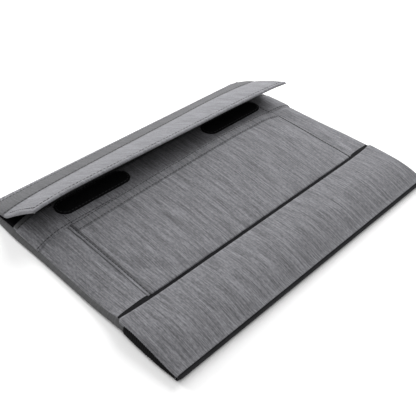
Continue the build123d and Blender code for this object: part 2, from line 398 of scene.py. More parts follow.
def settle(points, held, push, spare, cap):
    """Lets sewn cloth find its shape: it is held at its seams, cut a little too big and pushed outwards by
    its filling. Gives the settled grid, no point moved further than the cap."""
    rows, columns = points.shape[:2]
    index = np.arange(rows * columns).reshape(rows, columns)
    a, b = index[:-1, :-1].ravel(), index[1:, :-1].ravel()
    c, d = index[1:, 1:].ravel(), index[:-1, 1:].ravel()
    mesh = bpy.data.meshes.new("settling")
    mesh.from_pydata([tuple(p) for p in points.reshape(-1, 3)], [], np.stack([a, b, c, d], 1).tolist())
    cloth = bpy.data.objects.new("settling", mesh)
    bpy.context.scene.collection.objects.link(cloth)
    group = cloth.vertex_groups.new(name="seams")
    group.add([int(k) for k in index[held]], 1.0, "REPLACE")
    modifier = cloth.modifiers.new("Cloth", "CLOTH")
    settings = modifier.settings
    settings.quality = 6
    settings.mass = 0.15
    settings.tension_stiffness = 12
    settings.compression_stiffness = 12
    settings.shear_stiffness = 4
    settings.bending_stiffness = 0.6
    settings.air_damping = 4
    settings.vertex_group_mass = "seams"
    settings.shrink_min = -spare
    settings.use_pressure = True
    settings.uniform_pressure_force = push
    settings.effector_weights.gravity = 0
    modifier.collision_settings.use_collision = False
    modifier.collision_settings.use_self_collision = False
    last = 20
    modifier.point_cache.frame_start = 1
    modifier.point_cache.frame_end = last
    for number in range(1, last + 1):
        bpy.context.scene.frame_set(number)
    graph = bpy.context.evaluated_depsgraph_get()
    settled = cloth.evaluated_get(graph)
    found = np.zeros(rows * columns * 3)
    settled.data.vertices.foreach_get("co", found)
    found = found.reshape(rows, columns, 3)
    bpy.data.objects.remove(cloth)
    bpy.data.meshes.remove(mesh)
    bpy.context.scene.frame_set(1)
    moved = np.nan_to_num(found - points)
    outward = grid_normals(points)
    outward *= np.where(outward[..., 2:] < 0, -1.0, 1.0)
    sunk = np.minimum((moved * outward).sum(-1, keepdims=True), 0)
    moved -= sunk * outward
    far = np.linalg.norm(moved, axis=-1, keepdims=True)
    return points + moved * (cap * np.tanh(far / cap) / np.maximum(far, 1e-9))


def smoother(piece, levels=1):
    """Rounds a settled cloth's cells."""
    modifier = piece.modifiers.new("Soft cloth", "SUBSURF")
    modifier.levels = levels
    modifier.render_levels = levels
    modifier.boundary_smooth = "PRESERVE_CORNERS"
    return piece


def sewn(piece, slot, body, *nodes, bend=None):
    """Fixes a finished piece to its body, or, given a bend, bakes its place into its mesh and leaves it
    loose; hides the nodes it stands for.
    """
    if bend:
        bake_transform(piece)
    else:
        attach(piece, body)
    if nodes:
        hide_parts(*nodes)
    return piece


# ---------------------------------------------------------------- materials

def material(name):
    """Fresh node material with only a shader and its output."""
    made = bpy.data.materials.new(name)
    made.use_nodes = True
    tree = made.node_tree
    tree.nodes.clear()
    output = tree.nodes.new("ShaderNodeOutputMaterial")
    shader = tree.nodes.new("ShaderNodeBsdfPrincipled")
    tree.links.new(shader.outputs["BSDF"], output.inputs["Surface"])
    return made, tree, shader


def tiled(tree, size_across, size_along, source="cut"):
    """Cloth coordinates counted in cells of a given size."""
    uv = tree.nodes.new("ShaderNodeUVMap")
    uv.uv_map = source
    mapping = tree.nodes.new("ShaderNodeMapping")
    mapping.inputs["Scale"].default_value = (1 / size_across, 1 / size_along, 1.0)
    tree.links.new(uv.outputs["UV"], mapping.inputs["Vector"])
    return mapping.outputs["Vector"]


def yarn_noise(tree, size_across, size_along, detail, shift=0.0):
    """Streaky noise drawn out along the yarn."""
    vector = tiled(tree, size_across, size_along)
    move = tree.nodes.new("ShaderNodeVectorMath")
    move.operation = "ADD"
    move.inputs[1].default_value = (shift, shift * 0.7, 0)
    tree.links.new(vector, move.inputs[0])
    noise = tree.nodes.new("ShaderNodeTexNoise")
    noise.noise_dimensions = "2D"
    noise.inputs["Scale"].default_value = 1.0
    noise.inputs["Detail"].default_value = detail
    noise.inputs["Roughness"].default_value = 0.6
    tree.links.new(move.outputs[0], noise.inputs["Vector"])
    return noise.outputs["Fac"]


def weighted(tree, first, second, weight):
    """first plus second times a weight."""
    node = tree.nodes.new("ShaderNodeMath")
    node.operation = "MULTIPLY_ADD"
    node.inputs[1].default_value = weight
    tree.links.new(second, node.inputs[0])
    if first is None:
        node.inputs[2].default_value = 0.0
    else:
        tree.links.new(first, node.inputs[2])
    return node.outputs[0]


def weave(tree, pitch):
    """Plain weave: warp and weft crossing over and under."""
    product = None
    for axis in ("X", "Y"):
        wave = tree.nodes.new("ShaderNodeTexWave")
        wave.bands_direction = axis
        wave.inputs["Scale"].default_value = math.pi / 10
        wave.inputs["Distortion"].default_value = 0.6
        wave.inputs["Detail"].default_value = 1.0
        tree.links.new(tiled(tree, pitch, pitch), wave.inputs["Vector"])
        if product is None:
            product = wave.outputs["Fac"]
        else:
            multiply = tree.nodes.new("ShaderNodeMath")
            multiply.operation = "MULTIPLY"
            tree.links.new(product, multiply.inputs[0])
            tree.links.new(wave.outputs["Fac"], multiply.inputs[1])
            product = multiply.outputs[0]
    return product


def bump(tree, shader, height, distance, strength=1.0):
    node = tree.nodes.new("ShaderNodeBump")
    node.inputs["Distance"].default_value = distance
    node.inputs["Strength"].default_value = strength
    tree.links.new(height, node.inputs["Height"])
    tree.links.new(node.outputs["Normal"], shader.inputs["Normal"])


def tones(tree, factor, stops):
    """Colour ramp from grey stops given as place and colour."""
    ramp = tree.nodes.new("ShaderNodeValToRGB")
    elements = ramp.color_ramp.elements
    while len(elements) < len(stops):
        elements.new(0.5)
    for element, (place, colour) in zip(elements, stops):
        element.position = place
        element.color = (*colour, 1.0)
    tree.links.new(factor, ramp.inputs["Fac"])
    return ramp.outputs["Color"]


def scaled_colour(colour, amount):
    return tuple(min(1.0, channel * amount) for channel in colour)


def heather_cloth(name, colour, contrast=1.0):
    """Two-tone heather: dark and light yarns laid side by side, drawn out along the cloth."""
    made, tree, shader = material(name)
    streaks = weighted(tree, None, yarn_noise(tree, 0.7 * MM, 14 * MM, 1.0), 0.34)
    streaks = weighted(tree, streaks, yarn_noise(tree, 1.6 * MM, 34 * MM, 1.0, 17.0), 0.28)
    streaks = weighted(tree, streaks, yarn_noise(tree, 6.0 * MM, 60 * MM, 1.0, 43.0), 0.12)
    streaks = weighted(tree, streaks, yarn_noise(tree, 1.0 * MM, 2.2 * MM, 1.0, 5.0), 0.26)
    spread = 0.55 * contrast
    colour_of_yarn = tones(
        tree,
        streaks,
        [
            (0.34, scaled_colour(colour, 1 - spread)),
            (0.47, scaled_colour(colour, 1 - 0.30 * spread)),
            (0.55, scaled_colour(colour, 1 + 0.35 * spread)),
            (0.66, scaled_colour(colour, 1 + 1.15 * spread)),
        ],
    )
    tree.links.new(colour_of_yarn, shader.inputs["Base Color"])
    shader.inputs["Roughness"].default_value = 0.88
    shader.inputs["Specular IOR Level"].default_value = 0.15
    shader.inputs["Sheen Weight"].default_value = 0.04
    shader.inputs["Sheen Roughness"].default_value = 0.6
    relief = weighted(tree, weave(tree, 0.7 * MM), streaks, 0.8)
    bump(tree, shader, relief, 0.12 * MM)
    return made


def woven_tape(name, colour, pitch=0.9 * MM):
    """Folded woven tape: fine ribs across it and a little fading."""
    made, tree, shader = material(name)
    fade = weighted(tree, None, yarn_noise(tree, 9 * MM, 14 * MM, 3.0), 0.7)
    fade = weighted(tree, fade, weave(tree, pitch), 0.3)
    colour_of_tape = tones(
        tree, fade, [(0.25, scaled_colour(colour, 0.72)), (0.7, scaled_colour(colour, 1.3))]
    )
    tree.links.new(colour_of_tape, shader.inputs["Base Color"])
    shader.inputs["Roughness"].default_value = 0.9
    shader.inputs["Specular IOR Level"].default_value = 0.12
    shader.inputs["Sheen Weight"].default_value = 0.02
    bump(tree, shader, weave(tree, pitch), 0.15 * MM)
    return made


def smooth_lining(name, colour):
    """Close-woven lining with a faint twill."""
    made, tree, shader = material(name)
    fade = yarn_noise(tree, 18 * MM, 24 * MM, 4.0)
    colour_of_lining = tones(
        tree, fade, [(0.3, scaled_colour(colour, 0.75)), (0.7, scaled_colour(colour, 1.3))]
    )
    tree.links.new(colour_of_lining, shader.inputs["Base Color"])
    shader.inputs["Roughness"].default_value = 0.85
    shader.inputs["Specular IOR Level"].default_value = 0.06
    bump(tree, shader, weave(tree, 0.4 * MM), 0.06 * MM)
    return made


def foam_sheet(name, colour):
    """Closed-cell foam: small round cells."""
    made, tree, shader = material(name)
    cells = tree.nodes.new("ShaderNodeTexVoronoi")
    cells.inputs["Scale"].default_value = 1.0
    tree.links.new(tiled(tree, 0.8 * MM, 0.8 * MM), cells.inputs["Vector"])
    colour_of_foam = tones(
        tree,
        cells.outputs["Distance"],
        [(0.0, scaled_colour(colour, 0.6)), (0.6, scaled_colour(colour, 1.2))],
    )
    tree.links.new(colour_of_foam, shader.inputs["Base Color"])
    shader.inputs["Roughness"].default_value = 0.95
    bump(tree, shader, cells.outputs["Distance"], 0.2 * MM)
    return made


def plain_board(name, colour):
    """Pressed board on the node's own coordinates."""
    made, tree, shader = material(name)
    place = tree.nodes.new("ShaderNodeTexCoord")
    noise = tree.nodes.new("ShaderNodeTexNoise")
    noise.inputs["Scale"].default_value = 900.0
    noise.inputs["Detail"].default_value = 3.0
    tree.links.new(place.outputs["Object"], noise.inputs["Vector"])
    colour_of_board = tones(
        tree,
        noise.outputs["Fac"],
        [(0.3, scaled_colour(colour, 0.8)), (0.7, scaled_colour(colour, 1.2))],
    )
    tree.links.new(colour_of_board, shader.inputs["Base Color"])
    shader.inputs["Roughness"].default_value = 0.7
    bump(tree, shader, noise.outputs["Fac"], 0.05 * MM)
    return made


def brushed_pile(name, colour):
    """Matte black pile ground, mottled where the loops are combed."""
    made, tree, shader = material(name)
    mottle = weighted(tree, None, yarn_noise(tree, 1.1 * MM, 1.1 * MM, 4.0), 0.6)
    mottle = weighted(tree, mottle, yarn_noise(tree, 6 * MM, 5 * MM, 2.0, 9.0), 0.4)
    colour_of_pile = tones(
        tree, mottle, [(0.3, scaled_colour(colour, 0.5)), (0.7, scaled_colour(colour, 1.5))]
    )
    tree.links.new(colour_of_pile, shader.inputs["Base Color"])
    shader.inputs["Roughness"].default_value = 0.95
    shader.inputs["Specular IOR Level"].default_value = 0.12
    bump(tree, shader, mottle, 0.5 * MM)
    return made


def ribbed_elastic(name, colour):
    """Black elastic web: rows of covered rubber."""
    made, tree, shader = material(name)
    rows = tree.nodes.new("ShaderNodeTexWave")
    rows.inputs["Scale"].default_value = math.pi / 10
    tree.links.new(tiled(tree, 1.6 * MM, 1.6 * MM), rows.inputs["Vector"])
    colour_of_web = tones(
        tree,
        rows.outputs["Fac"],
        [(0.0, scaled_colour(colour, 0.4)), (1.0, scaled_colour(colour, 1.2))],
    )
    tree.links.new(colour_of_web, shader.inputs["Base Color"])
    shader.inputs["Roughness"].default_value = 0.9
    shader.inputs["Specular IOR Level"].default_value = 0.12
    bump(tree, shader, rows.outputs["Fac"], 0.3 * MM)
    return made


def spun_thread(name, colour):
    """Twisted sewing thread on the piece's own place."""
    made, tree, shader = material(name)
    place = tree.nodes.new("ShaderNodeTexCoord")
    noise = tree.nodes.new("ShaderNodeTexNoise")
    noise.inputs["Scale"].default_value = 2500.0
    tree.links.new(place.outputs["Object"], noise.inputs["Vector"])
    colour_of_thread = tones(
        tree,
        noise.outputs["Fac"],
        [(0.3, scaled_colour(colour, 0.75)), (0.7, scaled_colour(colour, 1.25))],
    )
    tree.links.new(colour_of_thread, shader.inputs["Base Color"])
    shader.inputs["Roughness"].default_value = 0.6
    bump(tree, shader, noise.outputs["Fac"], 0.05 * MM)
    return made


def made_once(name, maker, *values):
    """The finish of that name, made when it is first asked for."""
    return bpy.data.materials.get(name) or maker(name, *values)


def grey_cloth():
    return made_once("grey_heather", heather_cloth, tuple(colours().cloth), 0.8)


def spine_cloth():
    return made_once("spine_heather", heather_cloth, tuple(colours().spine), 0.35)


# The outer cloth at 0.62 of its tone: painted shade for the crease along the accessory pocket's side seams.
def seam_shade_cloth():
    return made_once("seam_heather", heather_cloth, scaled_colour(tuple(colours().cloth), 0.62), 0.4)


# The outer cloth at 0.86 of its tone: painted shade on the accessory pocket's hem strip.
def hem_shade_cloth():
    return made_once("hem_heather", heather_cloth, scaled_colour(tuple(colours().cloth), 0.86), 0.8)


# The outer cloth at 1.15 times its tone: painted light on the flap, which is the same fabric and faces the
# back lamp more than the body does.
def flap_cloth():
    return made_once("flap_heather", heather_cloth, scaled_colour(tuple(colours().cloth), 1.15), 0.5)


# Plain heather darkened to about half the outer cloth's tone: painted shade on the side walls, which face
# away from the lamps, and on the mouth tape under the flap.
def grey_binding():
    return made_once("plain_grey_binding", heather_cloth, tuple(colours().binding), 0.35)


def dark_tape():
    return made_once("dark_woven_tape", woven_tape, tuple(colours().tape))


def black_lining():
    return made_once("black_woven_lining", smooth_lining, tuple(colours().lining))


def padding_foam():
    return made_once("closed_cell_foam", foam_sheet, (0.03, 0.03, 0.03))


def stiff_board():
    return made_once("pressed_board", plain_board, (0.02, 0.02, 0.02))


def thread(tone):
    return made_once(f"thread_{tone}", spun_thread, tuple(getattr(colours(), f"thread_{tone}")))


# ---------------------------------------------------------------- repeated things

def socket(tree, name, kind, default=None):
    made = tree.interface.new_socket(name=name, in_out="INPUT", socket_type=kind)
    if default is not None:
        made.default_value = default
    return made.identifier


def stitch_tree():
    """Node tree that lays rounded stitches end to end along seam lines."""
    tree = bpy.data.node_groups.new("Running stitches", "GeometryNodeTree")
    ids = {"Seams": socket(tree, "Seams", "NodeSocketGeometry")}
    ids["Pitch"] = socket(tree, "Pitch", "NodeSocketFloat", 3.0 * MM)
    ids["Stitch length"] = socket(tree, "Stitch length", "NodeSocketFloat", 2.2 * MM)
    ids["Thread width"] = socket(tree, "Thread width", "NodeSocketFloat", 0.45 * MM)
    ids["Thread"] = socket(tree, "Thread", "NodeSocketMaterial")
    tree.interface.new_socket(name="Stitches", in_out="OUTPUT", socket_type="NodeSocketGeometry")
    new, link = tree.nodes.new, tree.links.new
    start, end = new("NodeGroupInput"), new("NodeGroupOutput")
    curve = new("GeometryNodeMeshToCurve")
    link(start.outputs["Seams"], curve.inputs["Mesh"])
    resample = new("GeometryNodeResampleCurve")
    resample.mode = "LENGTH"
    link(curve.outputs["Curve"], resample.inputs["Curve"])
    link(start.outputs["Pitch"], resample.inputs["Length"])
    stitch = new("GeometryNodeMeshUVSphere")
    stitch.inputs["Segments"].default_value = 6
    stitch.inputs["Rings"].default_value = 5
    stitch.inputs["Radius"].default_value = 0.5
    size = new("ShaderNodeCombineXYZ")
    link(start.outputs["Thread width"], size.inputs["X"])
    link(start.outputs["Thread width"], size.inputs["Y"])
    link(start.outputs["Stitch length"], size.inputs["Z"])
    tangent = new("GeometryNodeInputTangent")
    turn = new("FunctionNodeAlignRotationToVector")
    turn.axis = "Z"
    link(tangent.outputs["Tangent"], turn.inputs["Vector"])
    place = new("GeometryNodeInstanceOnPoints")
    link(resample.outputs["Curve"], place.inputs["Points"])
    link(stitch.outputs["Mesh"], place.inputs["Instance"])
    link(turn.outputs["Rotation"], place.inputs["Rotation"])
    link(size.outputs["Vector"], place.inputs["Scale"])
    realise = new("GeometryNodeRealizeInstances")
    link(place.outputs["Instances"], realise.inputs["Geometry"])
    smooth = new("GeometryNodeSetShadeSmooth")
    link(realise.outputs["Geometry"], smooth.inputs["Geometry"])
    finish = new("GeometryNodeSetMaterial")
    link(smooth.outputs["Geometry"], finish.inputs["Geometry"])
    link(start.outputs["Thread"], finish.inputs["Material"])
    link(finish.outputs["Geometry"], end.inputs["Stitches"])
    return tree, ids


def pile_tree():
    """Node tree that stands small bent hairs all over a tape."""
    tree = bpy.data.node_groups.new("Tape pile", "GeometryNodeTree")
    ids = {"Ground": socket(tree, "Ground", "NodeSocketGeometry")}
    ids["Spacing"] = socket(tree, "Spacing", "NodeSocketFloat", 1.1 * MM)
    ids["Density"] = socket(tree, "Density", "NodeSocketFloat", 1.2e6)
    ids["Height"] = socket(tree, "Height", "NodeSocketFloat", 0.9 * MM)
    ids["Hair width"] = socket(tree, "Hair width", "NodeSocketFloat", 0.16 * MM)
    ids["Seed"] = socket(tree, "Seed", "NodeSocketInt", 4)
    ids["Finish"] = socket(tree, "Finish", "NodeSocketMaterial")
    tree.interface.new_socket(name="Pile", in_out="OUTPUT", socket_type="NodeSocketGeometry")
    new, link = tree.nodes.new, tree.links.new
    start, end = new("NodeGroupInput"), new("NodeGroupOutput")
    scatter = new("GeometryNodeDistributePointsOnFaces")
    scatter.distribute_method = "POISSON"
    link(start.outputs["Ground"], scatter.inputs["Mesh"])
    link(start.outputs["Spacing"], scatter.inputs["Distance Min"])
    link(start.outputs["Density"], scatter.inputs["Density Max"])
    link(start.outputs["Seed"], scatter.inputs["Seed"])
    arc = new("GeometryNodeCurveArc")
    arc.mode = "RADIUS"
    arc.inputs["Resolution"].default_value = 5
    arc.inputs["Radius"].default_value = 0.5
    arc.inputs["Start Angle"].default_value = -0.3
    arc.inputs["Sweep Angle"].default_value = math.pi * 1.1
    profile = new("GeometryNodeCurvePrimitiveCircle")
    profile.inputs["Resolution"].default_value = 3
    ratio = new("ShaderNodeMath")
    ratio.operation = "DIVIDE"
    link(start.outputs["Hair width"], ratio.inputs[0])
    link(start.outputs["Height"], ratio.inputs[1])
    link(ratio.outputs[0], profile.inputs["Radius"])
    hair = new("GeometryNodeCurveToMesh")
    hair.inputs["Fill Caps"].default_value = True
    link(arc.outputs["Curve"], hair.inputs["Curve"])
    link(profile.outputs["Curve"], hair.inputs["Profile Curve"])
    upright = new("GeometryNodeTransform")
    upright.inputs["Rotation"].default_value = (math.pi / 2, 0, 0)
    link(hair.outputs["Mesh"], upright.inputs["Geometry"])
    spin = new("FunctionNodeRandomValue")
    spin.data_type = "FLOAT_VECTOR"
    spin.inputs[0].default_value = (-0.35, -0.35, 0)
    spin.inputs[1].default_value = (0.35, 0.35, 2 * math.pi)
    link(start.outputs["Seed"], spin.inputs["Seed"])
    size = new("ShaderNodeCombineXYZ")
    for axis in "XYZ":
        link(start.outputs["Height"], size.inputs[axis])
    place = new("GeometryNodeInstanceOnPoints")
    link(scatter.outputs["Points"], place.inputs["Points"])
    link(upright.outputs["Geometry"], place.inputs["Instance"])
    link(spin.outputs["Value"], place.inputs["Rotation"])
    link(size.outputs["Vector"], place.inputs["Scale"])
    realise = new("GeometryNodeRealizeInstances")
    link(place.outputs["Instances"], realise.inputs["Geometry"])
    finish = new("GeometryNodeSetMaterial")
    link(realise.outputs["Geometry"], finish.inputs["Geometry"])
    link(start.outputs["Finish"], finish.inputs["Material"])
    link(finish.outputs["Geometry"], end.inputs["Pile"])
    return tree, ids


def grown(name, base, made_tree, values):
    """Plain mesh object from what a node tree grows on a base object, which is then removed."""
    tree, ids = made_tree
    modifier = base.modifiers.new("Grow", "NODES")
    modifier.node_group = tree
    for label, value in values.items():
        modifier[ids[label]] = value
    bpy.context.view_layer.update()
    graph = bpy.context.evaluated_depsgraph_get()
    mesh = bpy.data.meshes.new_from_object(base.evaluated_get(graph), depsgraph=graph)
    mesh.name = name
    piece = bpy.data.objects.new(name, mesh)
    bpy.context.scene.collection.objects.link(piece)
    bpy.data.objects.remove(base)
    if not len(mesh.polygons):
        raise RuntimeError(f"{name}: the node tree grew nothing")
    return piece


def seam_lines(lines):
    """Bare edge mesh of several seam lines, each a run of points."""
    vertices, edges = [], []
    for line in lines:
        start = len(vertices)
        vertices += [tuple(point) for point in line]
        edges += [(start + k, start + k + 1) for k in range(len(line) - 1)]
    mesh = bpy.data.meshes.new("seam_lines")
    mesh.from_pydata(vertices, edges, [])
    lines_object = bpy.data.objects.new("seam_lines", mesh)
    bpy.context.scene.collection.objects.link(lines_object)
    return lines_object


def stitched(name, lines, tone, slot, body, bend=None):
    """Rows of stitches along seam lines, in one thread."""
    sizes = bpy.context.scene.envelope_stitching
    values = {
        "Pitch": sizes.pitch,
        "Stitch length": sizes.length,
        "Thread width": sizes.width,
        "Thread": thread(tone),
    }
    piece = grown(name, seam_lines(lines), stitch_tree(), values)
    return sewn(piece, slot, body, bend=bend)


def on_face(face, xs, ys, lift):
    """Points on a height field, lifted a little."""
    xs, ys = np.broadcast_arrays(np.asarray(xs, float), np.asarray(ys, float))
    return np.stack([xs, ys, face(xs, ys) + lift], -1)


# ---------------------------------------------------------------- settings

def shape():
    return bpy.context.scene.envelope_shape


def colours():
    return bpy.context.scene.envelope_colours


class EnvelopeShape(bpy.types.PropertyGroup):
    twist: bpy.props.FloatProperty(
        name="Spine twist",
        description="How far the soft spine is twisted from one end to the other",
        default=1.0,
        min=0.0,
        max=1.0,
        subtype="FACTOR",
    )
    cell: bpy.props.FloatProperty(
        name="Cloth cell",
        description="Size of the cells in which the cloth settles",
        default=3.0 * MM,
        min=1.0 * MM,
        max=8.0 * MM,
        unit="LENGTH",
    )
    edge_radius: bpy.props.FloatProperty(
        name="Edge radius",
        description="Radius of the cloth where it turns over a panel's edge",
        default=1.3 * MM,
        min=0.5 * MM,
        max=3.0 * MM,
        unit="LENGTH",
    )
    puff: bpy.props.FloatProperty(
        name="Puff",
        description="The most that the padding may push the cloth out of its plane",
        default=1.2 * MM,
        min=0.0,
        max=4.0 * MM,
        unit="LENGTH",
    )


class EnvelopeColours(bpy.types.PropertyGroup):
    cloth: bpy.props.FloatVectorProperty(
        name="Heather cloth",
        description="Mean colour of the outer cloth",
        subtype="COLOR",
        size=3,
        default=(0.160, 0.160, 0.171),
    )
    spine: bpy.props.FloatVectorProperty(
        name="Spine cloth",
        description="Colour of the plainer band along the spine",
        subtype="COLOR",
        size=3,
        default=(0.105, 0.105, 0.110),
    )
    # Darker than the heather cloth to paint the shade on the side walls and on the mouth tape.
    binding: bpy.props.FloatVectorProperty(
        name="Side binding",
        description="Colour of the plain cloth on the side walls",
        subtype="COLOR",
        size=3,
        default=(0.085, 0.085, 0.087),
    )
    tape: bpy.props.FloatVectorProperty(
        name="Edge tape",
        description="Colour of the dark tape along the front edge",
        subtype="COLOR",
        size=3,
        default=(0.020, 0.020, 0.022),
    )
    lining: bpy.props.FloatVectorProperty(
        name="Lining",
        description="Colour of the lining",
        subtype="COLOR",
        size=3,
        default=(0.010, 0.010, 0.011),
    )
    pile: bpy.props.FloatVectorProperty(
        name="Hook and loop tape",
        description="Colour of the closure tape",
        subtype="COLOR",
        size=3,
        default=(0.0045, 0.0045, 0.005),
    )
    thread_grey: bpy.props.FloatVectorProperty(
        name="Grey thread",
        description="Thread of the seams on the outer cloth",
        subtype="COLOR",
        size=3,
        default=(0.016, 0.016, 0.017),
    )
    thread_black: bpy.props.FloatVectorProperty(
        name="Black thread",
        description="Thread of the closure tape and the edge tape",
        subtype="COLOR",
        size=3,
        default=(0.012, 0.012, 0.013),
    )


class EnvelopeStitching(bpy.types.PropertyGroup):
    pitch: bpy.props.FloatProperty(
        name="Pitch",
        description="Distance from one stitch to the next",
        default=2.9 * MM,
        unit="LENGTH",
    )
    length: bpy.props.FloatProperty(
        name="Stitch length",
        description="Length of one stitch",
        default=2.3 * MM,
        unit="LENGTH",
    )
    width: bpy.props.FloatProperty(
        name="Thread width",
        description="Width of the thread",
        default=0.6 * MM,
        unit="LENGTH",
    )


# ---------------------------------------------------------------- the front panel

def front_grid():
    """Turned cut of the front panel's cloth, before it settles: points, cut places, and who is held."""
    radius = shape().edge_radius
    lips = (1.2 * MM, 1.2 * MM, 0.0, 0.0)
    sides = (-HALF_WIDTH + 0.25 * MM, HALF_WIDTH - 0.25 * MM)
    ends = (PANEL_START, MOUTH)
    across = lipped(*sides, shape().cell, radius, lips[:2])
    along = spaced(*ends, shape().cell)
    for seam in (-POCKET_X - 1.5 * MM, POCKET_X + 1.5 * MM):
        across[np.argmin(abs(across - seam))] = seam
    along[np.argmin(abs(along - POCKET_MOUTH))] = POCKET_MOUTH
    u, v, drop = turn_edges(across, along, sides, ends, radius, lips)
    z = front_face(u, v) - 0.5 * CLOTH - drop
    p, q = np.meshgrid(across, along, indexing="ij")
    points = np.stack([u, v, z], -1)
    side_seam = (np.abs(np.abs(p) - POCKET_X - 1.5 * MM) < 0.1 * MM) & (q > POCKET_START)
    cross_seam = (np.abs(q - POCKET_MOUTH) < 0.1 * MM) & (np.abs(p) > POCKET_X)
    under = (np.abs(p) < POCKET_X) & (q > POCKET_START + 2 * MM)
    held = (drop > 0) | (q < BAND_END) | (q > BINDING_START) | side_seam | cross_seam | under
    return points, (p, q), held, side_seam | cross_seam


class ENVELOPE_OT_front_panel(bpy.types.Operator):
    """Front panel: heather cloth over foam over lining, drawn down at the side seams"""

    bl_idname = "envelope.front_panel"
    bl_label = "Front panel"

    def execute(self, context):
        points, cut, held, seam = front_grid()
        points = settle(points, held, 6.0, 0.012, shape().puff)
        points[..., 2] -= np.where(seam, 0.8 * MM, 0.0)

        def lined(centres):
            return (centres[:, 1] < POCKET_START + 0.2 * MM).astype(int)

        cover = shell("front_cover_cloth", points, CLOTH, cut, [grey_cloth(), black_lining()], lined)
        smoother(cover)
        sewn(cover, "grey_cloth", "case", "front_cover")

        xs = spaced(-PANEL_X + 0.2 * MM, PANEL_X - 0.2 * MM, 4 * MM)
        ys = spaced(PANEL_START + 0.1 * MM, MOUTH - 0.2 * MM, 4 * MM)
        x, y = np.meshgrid(xs, ys, indexing="ij")
        ceiling = FLOOR + front_rise(x, y)
        lining = shell(
            "front_lining_cloth",
            np.stack([x, y, ceiling + 0.5 * LINING], -1),
            LINING,
            (x, y),
            [black_lining()],
        )
        sewn(lining, "black_lining", "case", "front_lining")
        inner = np.clip(x, -PANEL_X + 1.2 * MM, PANEL_X - 1.2 * MM)
        foam = slab_between(
            "front_padding_foam",
            np.stack([inner, y, FLOOR + front_rise(inner, y) + LINING + 0.02 * MM], -1),
            np.stack([inner, y, front_face(inner, y) - CLOTH - 0.55 * MM], -1),
            (x, y),
            [padding_foam()],
        )
        sewn(foam, "padding_foam", "case", "front_padding")
        return {"FINISHED"}


# ---------------------------------------------------------------- the back panel

def back_path(x, rows, inset):
    """Points on the back's cloth: flat under the case, round the spine fold and up the spine.
    A row is a kind and a place: flat at a depth, round by a share, or up by a run."""
    slope, _ = fold_slopes(x)
    columns = []
    for kind, value in rows:
        if kind == "flat":
            columns.append(np.stack([x, np.full_like(x, value), np.full_like(x, inset)], -1))
        elif kind == "round":
            angle = -math.pi / 2 + value * (math.pi - slope)
            radius = SPINE_AXIS.z + (FOLD_HALF - SPINE_AXIS.z) * ease(0, 1, value) - inset
            y = FOLD_Y + radius * np.cos(angle)
            z = SPINE_AXIS.z + radius * np.sin(angle)
            narrowed = x * (1 - drawn_in(0.0) * ease(0.0, 0.6, value) / HALF_WIDTH)
            columns.append(np.stack([narrowed, y, z], -1))
        else:
            columns.append(hinged_face(x, value, FOLD_HALF - inset))
    return np.stack(columns, axis=1)


def spine_bend():
    """How cloth bends across the spine fold, along the line square to the folded pair."""
    middle = 0.5 * SPINE_SLOPE
    way = Vector((0, math.sin(middle), math.cos(middle)))
    return ("case", "spine", SPINE_AXIS - way * MM, SPINE_AXIS + way * MM)


def flap_bend():
    """How cloth bends across the flap fold, along the slope."""
    way = Vector((0, -math.cos(SPINE_SLOPE), math.sin(SPINE_SLOPE)))
    return ("spine", "flap", FLAP_AXIS - way * 1.6 * MM, FLAP_AXIS + way * 1.6 * MM)


SPINE_SEAM = 3.4 * MM
FLAP_SEAM = 3.4 * MM


def path_lengths(points):
    """Running length along each row of a grid."""
    steps = np.linalg.norm(np.diff(points, axis=1), axis=-1)
    return np.concatenate([np.zeros((len(points), 1)), np.cumsum(steps, axis=1)], axis=1)


